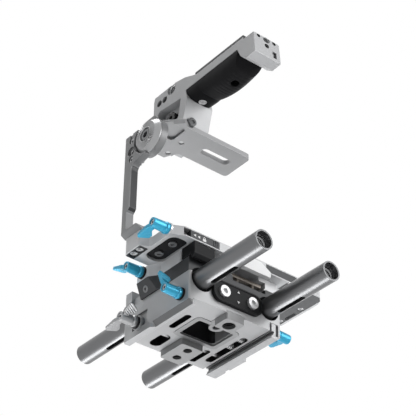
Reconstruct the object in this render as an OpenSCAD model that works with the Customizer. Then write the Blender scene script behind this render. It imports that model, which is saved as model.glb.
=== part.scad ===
/* [Rods] */
// Diameter of a support rod
rod_d = 15; // [13:0.5:18]
// Distance between the two rod axes
rod_gap = 60; // [58:1:72]
// Length of a support rod
rod_l = 203; // [170:1:260]
// Height of the rod axes above the feet
rod_z = 22.3; // [20:0.1:27]
// How far a rod stands out behind the tripod hole
rod_back = 72; // [50:1:90]
// Bore through a rod
rod_bore_d = 10.2; // [8:0.1:11]

/* [Base block] */
// Width of the base block
block_w = 82; // [80:1:100]
// Length of the base block along the rods
block_l = 74; // [68:1:90]
// Distance from the tripod hole to the rear face
block_back = 7.4; // [6:0.1:9]
// Depth of the dovetail channel under the block
channel_h = 4.9; // [4:0.1:6]
// Depth of the side walls over the channel
wall_h = 21.1; // [20:0.1:26]
// Depth of the deck that covers the rods
deck_h = 7.5; // [7:0.1:12]
// Room for the dovetail jaw to open
jaw_travel = 2; // [0.5:0.1:2.2]
// Diameter of the large tripod hole
tripod_d = 9.5; // [8:0.1:10]
// Diameter of the small tripod holes
screw_hole_d = 6.4; // [5:0.1:7]

/* [Riser] */
// Thickness of the dark plate over the deck
bridge_h = 3.8; // [3:0.1:8]
// Thickness of the riser block
riser_h = 9.5; // [9:0.1:14]
// How far the lever lug stands out of the riser
lug_out = 5.6; // [4:0.1:8]
// Length of the shoe that slides in the riser
shoe_l = 29; // [24:1:34]

/* [Cage] */
// Distance from the middle to the left side of the cage base
cage_left = 59.5; // [57:0.5:64]
// Distance from the middle to the right end of the cage base
cage_right = 81.5; // [70:0.5:100]
// Thickness of the cage base
base_h = 7.5; // [7.2:0.1:10]
// Clear height between the cage base and the cage top
cage_gap = 93; // [80:1:110]
// Thickness of the side arm
arm_t = 6.3; // [5:0.1:8]
// Thickness of the cage top
top_h = 4; // [3.5:0.1:6]
// Number of teeth on the side rosette
rosette_teeth = 48; // [24:4:60]

/* [Handle] */
// Width of the handle
handle_w = 24; // [22:0.5:30]
// Length of the handle from its head to its leg
handle_l = 117; // [100:1:140]
// Height of the handle over the cage top
handle_h = 47.6; // [44:0.1:60]
// Thickness of the bar over the grip
bar_h = 7; // [6:0.1:10]
// Length of the rail that the handle slides on
rail_l = 27.7; // [22:0.1:28]

/* [Levers] */
// Diameter of a lever barrel
lever_d = 7.8; // [7:0.1:9]
// Length of a lever barrel
lever_l = 13.5; // [12:0.5:16]
// Length of a lever wing from the axis
wing_l = 18.6; // [15:0.1:19]
// Thickness of a lever wing at its root
wing_t = 3.4; // [2.4:0.1:4]

/* [Hidden] */

// General clearances and finish sizes
cut = 1;
fit = 0.05;
play = 0.3;
seam = 0.2;
edge = 0.8;
round_fn = 48;
small_fn = 32;
corner_steps = 5;

// Levels of the stacked plates
wall_top = channel_h + wall_h;
deck_top = wall_top + deck_h;
bridge_top = deck_top + bridge_h;
riser_top = bridge_top + riser_h;
base_top = riser_top + base_h;
cage_roof = base_top + cage_gap;
top_z = cage_roof + top_h;
handle_top = top_z + handle_h;

// Rods
rod_x = rod_gap / 2;
rod_r = rod_d / 2;
rod_y0 = -rod_back;
rod_mouth_d = 12.6;
rod_mouth_l = 4;
rod_slot_l = 27;
rod_slot_w = 4;
rod_slot_inset = 28;
rod_slot_turn = 175;

// Base block
block_y0 = -block_back;
block_y1 = block_y0 + block_l;
block_x = block_w / 2;
skirt_t = 2.2;
deck_x = block_x - skirt_t;
deck_y0 = -3;
front_wall_l = 8;
front_wall_h = 5.8;
mouth_gap = 1.8;
mouth_l = 6;
left_jaw_w = 5.4;
undercut = 2.4;
side_cut = 3.6;
side_cut_l = 39;
side_cut_run = 5;
outer_edge = 1.2;
right_wall_t = 2.3;
right_wall_drop = 2.7;
jaw_channel_in = 10.2;
jaw_channel_x = block_x - jaw_channel_in;
jaw_channel_h = 6.6;
slot_depth = 8;
rear_slot_x = -24.4;
rear_slot_y = 23.3;
rear_slot_l = 22;
rear_slot_w = 5;
spring_slot_in = 15;
spring_slot_x = block_x - spring_slot_in;
spring_slot_y = 34.1;
spring_slot_l = 43.9;
spring_slot_w = 6;
front_slot_x = 16.8;
front_slot_y = 52.7;
front_slot_l = 20.6;
front_slot_w = 5;
wide_slot_x = -19;
wide_slot_y = 53.1;
wide_slot_l = 18.4;
wide_slot_w = 9;
lever_pocket_y = 39.6;
lever_pocket_l = 17;
lever_pocket_z = 5;
lever_pocket_h = 11.3;
lever_pocket_d = 1.5;
lever_boss_r = 5.4;
lever_boss_l = 1.5;

// Tripod insert
ring_w = 38;
ring_l = 30;
ring_y = 24.6;
ring_wall = 3.5;
ring_r = 4;
insert_drop = 0.3;
insert_h = 1.4;
insert_top = channel_h + insert_h;
tripod_depth = 10;
rear_tab_w = 16;
rear_tab_y1 = 6.6;
front_tab_w = 19;
front_tab_y0 = 39.6;
front_tab_y1 = 65.6;
tab_r = 1.6;
front_hole_y = 45.6;
front_hole_step = 12.4;
tongue_w = 11;
tongue_y = 13.6;
tongue_hole_d = 5.6;
pocket_w = 30;
pocket_l = 23;
pocket_roof = 1;
pocket_top = wall_top - pocket_roof;

// Pad plate on the rear face
pad_side_gap = 0.8;
pad_w = rod_gap - rod_d - 2 * pad_side_gap;
pad_h = 16.3;
pad_t = 3;
pad_drop = 4.15;
pad_z = rod_z - pad_drop;
pad_r = 6.6;
pad_rim = 1.1;
pad_rim_d = 0.5;
pad_screw_x = 12.6;
pad_head_d = 8.6;
pad_head_l = 3;
pad_seat_d = 1.6;
pad_shank_d = 5;
pad_shank_l = 9;
hex_share = 0.5;
hex_depth_share = 0.6;

// Moving dovetail jaw with its guide pins
jaw_side_gap = 0.4;
jaw_lip_in = 8.5;
jaw_lip_out = 3;
jaw_wide_out = 0.4;
jaw_lip_x0 = block_x - jaw_lip_in;
jaw_lip_x1 = block_x - jaw_lip_out;
jaw_wide_x1 = block_x + jaw_wide_out;
jaw_wide_y = 30.6;
jaw_step = 3.4;
jaw_lip_h = 1.9;
jaw_body_x1 = block_x - right_wall_t - jaw_travel - jaw_side_gap;
jaw_end_gap = 1.5;
jaw_end_r = 1.5;
jaw_notch_y = 48.6;
jaw_notch_l = 5;
jaw_notch_d = 1.4;
jaw_pin_y = 20;
jaw_pin_step = 12;
jaw_pin_d = 3;
jaw_pin_gap = 1.2;
jaw_pin_x0 = ring_w / 2 + jaw_pin_gap;
jaw_pin_z = channel_h + jaw_channel_h / 2;
spring_wire_d = 0.7;
spring_d = 5;
spring_turns = 5;
spring_sides = 6;
spring_rings = 8;
gap_steps = 48;
jaw_spring_l = jaw_lip_x0 - 2 * play - spring_slot_x + spring_slot_w / 2;

// Dark bridge plate and its lug
lug_y0 = 33.1;
lug_y1 = 46.1;
lug_step_y = 25.4;
lug_lean = 4.1;
bridge_y0 = -6.4;
bridge_back_t = 3;
lug_screw_d = 5;
lug_screw_y = 38.6;
lug_screw_rise = 4.5;
lug_screw_z = wall_top + lug_screw_rise;
lug_screw_l = 3;

// Riser block with the shoe channel
riser_y0 = 3.6;
riser_step_x = -7;
riser_back_y = -5;
riser_r = 2.4;
shoe_x = 13;
channel_w = 32;
channel_floor = 1.5;
channel_height = 5;
neck_w = 20;
stop_l = 4;
recess_w = 30;
recess_l = 5.8;
riser_screw_left_x = -15;
riser_screw_right_x = 35;
riser_screw_y = 10;
riser_screw_step = 18;
riser_screw_d = 5;
riser_head_d = 8.5;
riser_head_l = 4;
riser_screw_l = 11;
riser_head_z = riser_top - riser_head_l - play;

// Release button, its spring and the latch bar
button_out = 0.6;
button_w = 17.6;
button_drop = 6.3;
button_x0 = -block_x - button_out;
button_x1 = button_x0 + button_w;
button_y0 = -13.4;
button_stroke = 2.5;
button_y1 = riser_y0 - button_stroke - play;
button_z0 = bridge_top - button_drop;
button_lean = 6;
button_gap = 0.5;
button_r = 1.4;
button_stem_in = 9;
button_stem_x = -block_x + button_stem_in;
button_stem_z = bridge_top + riser_h / 2;
button_stem_d = 4;
button_stem_l = 22;
spring_bore_d = 6.6;
spring_bore_l = 16;
release_spring_d = 5.8;
release_turns = 7;
release_spring_y = button_y1 + play;
release_spring_l = riser_y0 + spring_bore_l - play - release_spring_y;
latch_w = 28;
latch_t = 3.2;
latch_h = 3;
latch_y = -2.8;
latch_lift = 2.2;
latch_travel = 4;
latch_pin_d = 2.4;
latch_pin_l = 2.5;
latch_pin_step = 14;

// Shoe under the cage base
shoe_end_gap = 0.3;
shoe_screw_step = 16;
shoe_screw_d = 5;
shoe_head_d = 8.4;
shoe_head_l = 3;
bracket_x0 = -14;
bracket_x1 = 26;
bracket_t = 1.4;
bracket_drop = 4.5;
bracket_rise = 5.2;
bracket_slope = 9;
bracket_foot_l = 3;
bracket_eye_d = 1.8;
bracket_eye_x = -10.5;
bracket_eye_z = 2.2;

// Cage base
base_y0 = -13.4;
base_y1 = 33.8;
base_front_y = 39.5;
base_front_r = 4;
base_step_x = 30;
base_step_run = 6;
base_right_r = 12;
base_left_y = -8.4;
base_left_step = 5;
base_left_r = 3.5;
lobe_out = 7.5;
lobe_waist_out = 1;
lobe_x = cage_left + lobe_out;
lobe_y0 = 16.6;
lobe_step_y = 13.8;
lobe_waist = cage_left + lobe_waist_out;
lobe_r = 2.5;
lobe_h = 5;
arm_screw_out = 3;
arm_screw_x = -cage_left - arm_screw_out;
arm_screw_y = 22;
arm_screw_step = 6.7;
arm_screw_d = 3.6;
arm_head_d = 5.6;
arm_head_l = 3;
arm_head_sink = 1;
liner_in = 10.9;
liner_x = -cage_left + liner_in;
liner_y = 9.2;
liner_w = 15.6;
liner_l = 34;
liner_r = 6;
liner_d = 3;
liner_t = 1.2;
liner_screw_d = 6;
liner_screw_h = 1.1;
liner_rear_y = 2.5;
liner_front_y = 18;
lock_in = 8.7;
lock_pocket_l = 31.1;
lock_x0 = -cage_left + lock_in;
lock_x1 = lock_x0 + lock_pocket_l;
lock_slide_l = 25;
lock_lip = 0.8;
lock_depth = 5;
insert_x0 = 23;
insert_x1 = 52;
insert_d = 2.2;
slide_ribs = 3;
slide_rib_pitch = 1.6;
slide_rib_inset = 2;
slide_rib_r = 0.4;
right_pocket_in = 36.5;
right_slot_in = 4;
right_screw_in = 4.9;
right_pocket_x = cage_right - right_pocket_in;
right_pocket_w = 49;
right_pocket_y = 12;
right_pocket_l = 27.5;
right_pocket_r = 9;
right_pocket_d = 2.4;
right_slot_x = cage_right - right_slot_in;
right_slot_y = 22.2;
right_slot_l = 11.5;
right_slot_w = 3;
right_screw_x = cage_right - right_screw_in;
right_screw_y = 9.8;
right_screw_step = 22.9;
side_screw_d = 5;
side_screw_l = 5;
base_pad_t = 1;
base_pad_w = 84;
base_pad_l = 28;
base_pad_x = 8;
base_pad_y = 10;
base_pad_r = 4;
pad_slot_x = 38;
pad_slot_l = 24;
pad_slot_w = 7;

// Side arm
arm_out = 10.5;
arm_x0 = -cage_left - arm_out;
arm_y1 = 34.6;
foot_y0 = 14;
foot_h = 3;
arm_screw_l = base_h + lobe_h - arm_head_l - arm_head_sink + foot_h - play;
foot_x1 = -cage_left;
bar_w = 8;
bar_low_w = 5;
bar_step_rise = 25.7;
bar_step_z = base_top + bar_step_rise;
bar_step = 3.2;
foot_neck_rise = 10.2;
foot_neck_z = base_top + foot_neck_rise;
beam_h = 24.4;
beam_rise = 3;
rosette_y = 10;
rosette_drop = 10.3;
rosette_z = cage_roof - rosette_drop;
carrier_r = 14.4;
carrier_in = 4;
carrier_out = 9.5;
carrier_x0 = arm_x0 + carrier_in;
carrier_x1 = arm_x0 + carrier_out;
pad_hole_y = 27.4;
pad_hole_drop = 15.4;
pad_low_drop = 22.4;
pad_slot_drop = 5.7;
pad_hole_z = cage_roof - pad_hole_drop;
pad_hole_sink_d = 8;
pad_hole_sink = 1.2;
pad_low_z = cage_roof - pad_low_drop;
pad_slot_z = cage_roof - pad_slot_drop;
pad_slot_d = 3.2;
pad_slot_run = 8;
lug_y = 3;
lug_w = 14;
lug_rise = 6.4;
lug_hole_w = 8;
lug_hole_h = 2.6;
lug_t = 2.8;

// Rosette
rosette_r = 10.8;
rosette_base_r = 14;
rosette_out = 1;
rosette_x0 = arm_x0 - rosette_out;
rosette_teeth_r = 6.4;
tooth_d = 0.9;
tooth_over = 1;
rosette_dish_r = 5.6;
rosette_dish_d = 1.6;
bush_d = 7;
bush_head_d = 8.4;
bush_head_l = 1.2;
bush_eye_d = 5;

// Cage top with its flange
top_in = 10.1;
top_x0 = arm_x0 + top_in;
top_x1 = 16;
top_nose_x = -48.3;
top_notch_x = -42.3;
top_neck_run = 5;
right_end_r = 3;
gusset = 4;
top_y0 = -5.2;
top_y1 = 34.6;
top_right_y1 = 24;
top_nose_y = -8.5;
top_neck_x = -30;
flange_t = 4;
flange_h = 22;
flange_y0 = rosette_y + carrier_r + seam;
flange_relief = 1.2;
flange_screw_d = 2.6;
flange_head_d = 4.4;
top_pocket_x = -51;
top_pocket_y = 6;
top_pocket_w = 16;
top_pocket_l = 17;
top_pocket_r = 3;
top_pocket_d = 2;
top_slot_x = -6;
top_slot_l = 26;
top_slot_w = 7;
pin_groove_r = 3.8;

// Rail on the cage top
rail_x = -36;
rail_w = 20;
rail_foot_w = 16;
rail_h = 6;
rail_foot_h = 2;
rail_y1 = 34;
rail_y0 = rail_y1 - rail_l;
rail_screw_d = 4;
rail_head_d = 7;
rail_screw_step = 16;

// Side view of the handle: share of its length, share of its height, corner radius as a share of its height
bar_top_share = 0.265;
bar_under_share = 1 - bar_top_share - bar_h / handle_h;
handle_outline_shares = [[0, 0.309, 0.01], [0.0144, 0.7, 0.03], [0.0434, 0.79, 0.03], [0.1075, 0.79, 0],
    [0.1075, 0.735, 0], [0.5605, 0.735, 0.02], [0.6143, 0.79, 0.02], [0.6794, 0.857, 0.1], [0.971, 1, 0.08],
    [1, 0.86, 0.2], [1, 0.006, 0], [0.6929, 0.006, 0], [0.6525, 0.408, 0], [0.668, bar_under_share, 0],
    [0.1654, bar_under_share, 0], [0.1323, 0.399, 0.12], [0.0765, 0.298, 0.02]];
window_outline_shares = [[0.9535, 0.567, 0.06], [0.7166, 0.5, 0.02], [0.7404, 0.151, 0.02],
    [0.9535, 0.151, 0.04]];
inlay_outline_shares = [[0.1096, 0.737, 0], [0.1096, 0.79, 0.01], [0.6111, 0.79, 0.02], [0.5584, 0.737, 0]];

// Handle
handle_x0 = rail_x - handle_w / 2;
leg_inset = 3;
handle_y0 = top_y1 - leg_inset - handle_l;
leg_y1 = handle_y0 + handle_l;
leg_gap = 0.3;
bar_z0 = handle_top - handle_h * bar_top_share - bar_h;
grip_gap = 0.3;
grip_rear_drop = 9;
grip_front_drop = 8.7;
grip_leg_drop = 8.4;
grip_bump_back = 13.5;
grip_leg_back = 1.9;
grip_y0 = handle_y0 + handle_outline_shares[14][0] * handle_l + grip_gap;
grip_y1 = handle_y0 + handle_outline_shares[13][0] * handle_l - grip_gap;
grip_drop = 15.3;
grip_keel = 1.5;
grip_rear_run = 3.8;
grip_rear_z = bar_z0 - grip_rear_drop;
grip_bump_y = grip_y1 - grip_bump_back;
grip_bump_z = bar_z0 - grip_front_drop;
grip_bump_run = 4;
grip_bump_drop = 0.6;
grip_leg_y = grip_y1 - grip_leg_back;
grip_leg_z = bar_z0 - grip_leg_drop;
grip_screw_z = grip_bump_z;
grip_deep_l = 6;
grip_shank_reach = 4;
belly_steps = 14;
knob_y = 10.2;
knob_rise = 12.3;
knob_z = top_z + knob_rise;
knob_d = 10;
knob_l = 3.4;
knob_lobes = 8;
knob_stud_d = 4;
knob_hex_d = 4;
knob_scallop = 1.3;
knob_scallop_out_share = 1 / 3;
knob_gap = 0.2;
window_d = 6.5;
web_hole_l = 9;
jaw_hook_out = 3;
jaw_hook_w = 9.1;
jaw_hook_h = 6.6;
jaw_hook_l = 23.5;
jaw_hook_x0 = handle_x0 - jaw_hook_out;
jaw_hook_x1 = jaw_hook_x0 + jaw_hook_w;
jaw_hook_z0 = top_z + leg_gap;
jaw_hook_z1 = jaw_hook_z0 + jaw_hook_h;
jaw_tongue_t = 2.4;
clamp_lean = 3;
clamp_gap = 0.3;
jaw_tongue_w = 12;
jaw_tongue_h = 10.8;
fixed_jaw_out = 3;
fixed_jaw_y0 = 2;
fixed_jaw_h = 7.4;
pin_side = 5;
pin_x = rail_x - pin_side;
pin_rise = 1.7;
pin_z = top_z + pin_rise;
pin_d = 7;
pin_out = 13.9;
pin_l = 10.2;
cheek_hole_y = 10.1;
cheek_hole_drop = 8;
cheek_hole_d = 9.5;
cheek_mid_y = 18.4;
cheek_front_y = 24.8;
cheek_small_drop = 13;
cheek_small_d = 5.6;
head_hole_rise = 4.1;
head_low_hole_drop = 2.2;
head_low_hole_d = 4;
head_pin_x = 7.2;
head_pin_d = 3.2;
head_hole_depth = 13;
head_notch_x = 5;
head_notch_drop = 10.6;
head_notch_w = 3.6;
head_notch_h = 6;
head_notch_d = 1.5;
head_chamfer = 4.4;
head_top = top_z + handle_outline_shares[2][1] * handle_h;

// Grip under the bar
grip_round = 9;
grip_keel_r = 13.5;
grip_side_drop = 12.3;
belly_sag = 6;
rib_count = 6;
rib_pitch = 4;
rib_r = 1.1;
rib_y0 = -62.5;
rib_depth = 0.5;
grip_screw_y = -12.4;
grip_hole_y = -49.4;
grip_head_d = 6;
grip_head_l = 2;
grip_shank_d = 3.4;

// Levers
flange_out = 0.5;
flange_l = 2.6;
groove_l = 0.6;
groove_d = 0.4;
tip_in = 0.5;
washer_t = 1.4;
washer_out = 0.7;
stud_d = 3;
stud_head_d = 4.4;
stud_head_l = 2;
stud_sink = 0.6;
wing_w = 8.4;
wing_slant = 4.6;
wing_end = 2.4;
wing_waist = 5;
wing_waist_rise = 6.5;
wing_tip_share = 0.6;
wing_round_share = 1 / 3;
wing_corner = 1.6;
grip_cut_r = 0.5;
grip_cut_d = 0.3;
grip_cut_pitch = 1.7;
grip_cuts = 5;
rear_lever_y = 1.5;
rear_lever_rise = 5.4;
jaw_lever_rise = 3.9;
riser_lever_rise = 5.7;
cage_lever_rise = 3.6;
rear_lever_z = channel_h + rear_lever_rise;
jaw_lever_y = 49.6;
jaw_lever_z = channel_h + jaw_lever_rise;
riser_lever_y = 39.2;
riser_lever_z = bridge_top + riser_lever_rise;
cage_lever_y = -7.6;
cage_lever_z = riser_top + cage_lever_rise;
rear_wing_turn = 66;
right_wing_turn = 6;
riser_wing_turn = 20;
cage_wing_turn = -8;
jaw_wing_turn = -8;
jaw_wing_rear_turn = 158;
jaw_wing_share = 0.8;
rear_stud_reach = 12;
rear_bore_l = rear_stud_reach - washer_t + play;
riser_stud_reach = block_x + lug_out + washer_t + shoe_x - channel_w / 2 - seam / 4;
cage_stud_reach = 3.8;
jaw_stud_reach = block_x + lever_boss_l + washer_t + jaw_body_x1 - edge;

function unit(v) = v / norm(v);

// Arc that rounds the corner p between a and b
function corner_arc(a, p, b, r) =
    let (u = unit(a - p), v = unit(b - p), half = acos(u * v) / 2)
    let (c = p + unit(u + v) * r / sin(half), s = p + u * r / tan(half), e = p + v * r / tan(half))
    let (a0 = atan2(s.y - c.y, s.x - c.x), a1 = atan2(e.y - c.y, e.x - c.x))
    let (turn = (a1 - a0 + 540) % 360 - 180)
    [for (i = [0:corner_steps]) c + r * [cos(a0 + turn * i / corner_steps),
        sin(a0 + turn * i / corner_steps)]];

// Outline whose points are [u, v, corner radius]
function rounded(points) = let (n = len(points)) [for (i = [0:n - 1])
    let (a = points[(i + n - 1) % n], p = points[i], b = points[(i + 1) % n])
    each p[2] > 0 ? corner_arc([a.x, a.y], [p.x, p.y], [b.x, b.y], p[2]) : [[p.x, p.y]]];

// Points of an arc through two ends that sags by s below their line
function sag_arc(a, b, s, n) =
    let (chord = norm(b - a), r = (chord * chord / 4 + s * s) / (2 * s), dir = unit(b - a))
    let (up = [-dir.y, dir.x], mid = (a + b) / 2, c = mid + up * (r - s))
    let (half = asin(chord / 2 / r), base = atan2(-up.y, -up.x))
    [for (i = [0:n]) c + r * [cos(base - half + 2 * half * i / n), sin(base - half + 2 * half * i / n)]];

module along_x(x0, l) { translate([x0, 0, 0]) rotate([90, 0, 90]) linear_extrude(l) children(); }
module along_y(y0, l) { translate([0, y0 + l, 0]) rotate([90, 0, 0]) linear_extrude(l) children(); }
module along_z(z0, l) { translate([0, 0, z0]) linear_extrude(l) children(); }
module bar_x(x0, y, z, r, l) {
    translate([x0, y, z]) rotate([0, 90, 0]) cylinder(r = r, h = l, $fn = round_fn);
}
module bar_y(x, y0, z, r, l) {
    translate([x, y0 + l, z]) rotate([90, 0, 0]) cylinder(r = r, h = l, $fn = round_fn);
}
module bar_z(x, y, z0, r, l) { translate([x, y, z0]) cylinder(r = r, h = l, $fn = round_fn); }
module plate(x0, y0, x1, y1) { translate([x0, y0]) square([x1 - x0, y1 - y0]); }

module round_rect(w, h, r) {
    square([w - 2 * r, h], center = true);
    square([w, h - 2 * r], center = true);
    for (sx = [-1, 1], sy = [-1, 1])
        translate([sx * (w / 2 - r), sy * (h / 2 - r)]) circle(r = r, $fn = small_fn);
}

module slot(l, w) {
    square([l - w, w], center = true);
    for (s = [-1, 1]) translate([s * (l - w) / 2, 0]) circle(d = w, $fn = small_fn);
}

// Hexagon socket that is sunk into a screw head
module hex_socket(d, depth) { cylinder(d = d, h = depth, $fn = 6); }

// Socket screw along Z: its head stands on z = 0 and its shank hangs below
module socket_screw(head_d, head_l, shank_d, shank_l) {
    difference() {
        union() {
            cylinder(d = head_d, h = head_l, $fn = round_fn);
            translate([0, 0, -shank_l]) cylinder(d = shank_d, h = shank_l + cut / 2, $fn = round_fn);
        }
        translate([0, 0, head_l * (1 - hex_depth_share)]) hex_socket(head_d * hex_share, head_l);
    }
}

function coil_point(r, rise, turns, t) = [rise * t / turns, r * cos(360 * t), r * sin(360 * t)];

// Least gap between one turn of a coil and the next
function coil_gap(d, wire_d, l, turns) = min([for (i = [0:gap_steps])
    norm(coil_point((d - wire_d) / 2, l - wire_d, turns, 1 / 2 + i / gap_steps)
        - coil_point((d - wire_d) / 2, l - wire_d, turns, 0))]) - wire_d;

// Compression spring along X: one round wire swept along a helix
module wire_spring(d, wire_d, l, turns) {
    steps = turns * spring_rings;
    r = (d - wire_d) / 2;
    rise = l - wire_d;
    ring_points = [for (i = [0:steps], k = [0:spring_sides - 1])
        let (a = 360 * i / spring_rings, t = 360 * k / spring_sides)
        let (out = r + wire_d / 2 * cos(t))
        [wire_d / 2 + rise * i / steps + wire_d / 2 * sin(t), out * cos(a), out * sin(a)]];
    sides = [for (i = [0:steps - 1], k = [0:spring_sides - 1])
        let (a = i * spring_sides + k, b = i * spring_sides + (k + 1) % spring_sides)
        each [[a, b, b + spring_sides], [a, b + spring_sides, a + spring_sides]]];
    caps = [for (k = [1:spring_sides - 2]) each [[0, k + 1, k],
        [steps * spring_sides, steps * spring_sides + k, steps * spring_sides + k + 1]]];
    polyhedron(points = ring_points, faces = concat(sides, caps));
}

// Clamping lever about the X axis, seated at x = 0 and standing along +X
module lever_barrel() {
    r = lever_d / 2;
    sink = lever_l - stud_head_l - stud_sink;
    rotate([0, 90, 0]) rotate_extrude($fn = round_fn) polygon([[stud_d / 2 + fit, 0], [r, 0],
        [r, groove_l], [r + flange_out, 2 * groove_l], [r + flange_out, flange_l],
        [r - groove_d, flange_l + groove_l], [r - groove_d, flange_l + 2 * groove_l],
        [r, flange_l + 2 * groove_l + groove_d], [r - tip_in + edge / 4, lever_l - edge / 2],
        [r - tip_in, lever_l], [stud_head_d / 2 + fit, lever_l], [stud_head_d / 2 + fit, sink],
        [stud_d / 2 + fit, sink]]);
}

// Paddle that stands out radially, turned from +Y towards +Z, with grooves along its outer edge
module lever_wing(turn, l) {
    x0 = lever_l - wing_w;
    low = l - wing_slant;
    tip_t = wing_t * wing_tip_share;
    tip_r = tip_t * wing_round_share;
    slope = atan(wing_slant / wing_w);
    rotate([turn, 0, 0]) difference() {
        intersection() {
            translate([0, 0, -wing_t]) linear_extrude(2 * wing_t) polygon(rounded([
                [lever_l - edge, stud_head_d / 2 + edge, 0], [lever_l - edge, lever_d / 2, 0],
                [lever_l, wing_waist_rise, wing_corner], [lever_l, l, wing_corner], [x0, low, wing_end],
                [x0, low - wing_end - edge, wing_corner],
                [lever_l - wing_waist, wing_waist_rise, wing_corner],
                [lever_l - wing_waist, stud_head_d / 2 + edge, 0]]));
            along_x(0, lever_l + cut) polygon(rounded([[0, -wing_t / 2, 0], [l - tip_t, -tip_t / 2, 0],
                [l, -tip_t / 2, tip_r], [l, tip_t / 2, tip_r], [l - tip_t, tip_t / 2, 0],
                [0, wing_t / 2, 0]]));
        }
        for (i = [1:grip_cuts], s = [-1, 1])
            translate([lever_l, l - i * grip_cut_pitch, s * (wing_side(l, i) + grip_cut_r - grip_cut_d)])
                rotate([0, 0, slope]) bar_x(-2 * wing_w, 0, 0, grip_cut_r, 3 * wing_w);
    }
}

// Half thickness of a wing of length l beside its groove i
function wing_side(l, i) = wing_t / 2 * (1 - (1 - wing_tip_share) * (l - i * grip_cut_pitch) / l);

// Screw that carries a lever and reaches into the clamp by reach
module lever_stud(reach) {
    head_x = lever_l - stud_head_l - stud_sink;
    translate([head_x, 0, 0]) rotate([0, 90, 0])
        socket_screw(stud_head_d, stud_head_l, stud_d, head_x + reach);
}

// Places a lever on its seat: side is -1 where it stands to the left
module on_seat(x, y, z, side) {
    translate([x, y, z]) scale_side(side) children();
}

module scale_side(side) {
    if (side < 0) mirror([1, 0, 0]) children();
    else children();
}

module washer(x, y, z, side) {
    on_seat(x, y, z, side) difference() {
        bar_x(0, 0, 0, lever_d / 2 + washer_out, washer_t);
        bar_x(-cut, 0, 0, stud_d / 2 + fit, washer_t + 2 * cut);
    }
}

module rod(x) {
    color("#5d6064") difference() {
        bar_y(x, rod_y0, rod_z, rod_r, rod_l);
        bar_y(x, rod_y0 - cut, rod_z, rod_bore_d / 2, rod_l + 2 * cut);
        for (y = [rod_y0 - cut, rod_y0 + rod_l - rod_mouth_l])
            bar_y(x, y, rod_z, rod_mouth_d / 2, rod_mouth_l + cut);
        for (y = [rod_y0 + rod_slot_inset, rod_y0 + rod_l - rod_slot_inset - rod_slot_l])
            translate([x, y + rod_slot_l / 2, rod_z]) rotate([0, rod_slot_turn, 0])
                along_z(rod_bore_d / 4, rod_r) rotate(90) slot(rod_slot_l, rod_slot_w);
    }
}

module rod_left() { rod(-rod_x); }
module rod_right() { rod(rod_x); }

// Cross-section of the base block, with its fixed dovetail jaw
module block_section() {
    plate(-block_x, channel_h, block_x, wall_top);
    polygon([[-block_x, wall_top], [-block_x, 0], [-block_x + left_jaw_w, 0],
        [-block_x + left_jaw_w - undercut, channel_h], [-block_x + left_jaw_w, wall_top]]);
    plate(block_x - right_wall_t, channel_h - right_wall_drop, block_x, wall_top);
}

module block_slot(x, y, l, w) {
    translate([x, y, 0]) along_z(-cut, channel_h + slot_depth + cut) rotate(90) slot(l, w);
}

module rod_block() {
    color("#c9cbcd") difference() {
        union() {
            along_y(block_y0, block_l) block_section();
            along_y(deck_y0, block_y1 - deck_y0) plate(-deck_x, wall_top - cut, deck_x, deck_top);
            along_y(block_y1 - front_wall_l, front_wall_l)
                plate(-block_x, wall_top - cut, block_x, deck_top + front_wall_h);
            bar_x(-block_x - lever_boss_l, jaw_lever_y, jaw_lever_z, lever_boss_r, 2 * lever_boss_l);
        }
        for (s = [-1, 1]) {
            bar_y(s * rod_x, block_y0 - cut, rod_z, rod_r + fit, block_l + 2 * cut);
            bar_y(s * rod_x, block_y0 - cut, rod_z, rod_r + mouth_gap, mouth_l + cut);
        }
        side_chamfer();
        for (x = [-block_x, block_x]) for (y = [block_y0, block_y1])
            translate([x, y, 0]) rotate(45) cube([outer_edge, outer_edge, 2 * top_z], center = true);
        insert_seat();
        block_slot(rear_slot_x, rear_slot_y, rear_slot_l, rear_slot_w);
        block_slot(spring_slot_x, spring_slot_y, spring_slot_l, spring_slot_w);
        block_slot(front_slot_x, front_slot_y, front_slot_l, front_slot_w);
        block_slot(wide_slot_x, wide_slot_y, wide_slot_l, wide_slot_w);
        along_y(block_y0 - cut, block_l + 2 * cut)
            plate(jaw_channel_x, -cut, block_x - right_wall_t, channel_h + jaw_channel_h);
        for (i = [0, 1]) bar_x(jaw_pin_x0 - seam, jaw_pin_y + i * jaw_pin_step,
            jaw_pin_z, jaw_pin_d / 2 + fit, jaw_channel_x - jaw_pin_x0 + seam + cut);
        for (i = [0, 1]) bar_x(spring_slot_x - spring_slot_w / 2, jaw_pin_y + i * jaw_pin_step,
            jaw_pin_z, spring_d / 2 + play, jaw_channel_x - spring_slot_x + spring_slot_w / 2 + cut);
        along_x(-block_x - cut, lever_pocket_d + cut) difference() {
            plate(lever_pocket_y, lever_pocket_z, lever_pocket_y + lever_pocket_l,
                lever_pocket_z + lever_pocket_h);
            translate([jaw_lever_y, jaw_lever_z]) circle(r = lever_boss_r, $fn = round_fn);
        }
        bar_x(-block_x - 2 * cut, jaw_lever_y, jaw_lever_z, stud_d / 2 + fit, 2 * block_x);
        bar_x(-block_x - cut, rear_lever_y, rear_lever_z, stud_d / 2 + fit, rear_bore_l + cut);
        bar_x(block_x - rear_bore_l - jaw_channel_in, rear_lever_y, rear_lever_z, stud_d / 2 + fit,
            rear_bore_l + jaw_channel_in + cut);
        for (s = [-1, 1])
            bar_y(s * pad_screw_x, block_y0 - cut, pad_z, pad_shank_d / 2 + fit, pad_shank_l + cut);
        at_riser_screws()
            bar_z(0, 0, riser_head_z - riser_screw_l - play, riser_screw_d / 2 + fit, riser_screw_l);
        for (s = [-1, 1]) bar_z(shoe_x + s * latch_pin_step / 2, latch_y + latch_t / 2,
            deck_top - latch_pin_l - latch_travel - play, latch_pin_d / 2 + fit,
            latch_pin_l + latch_travel + cut);
    }
}

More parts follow.
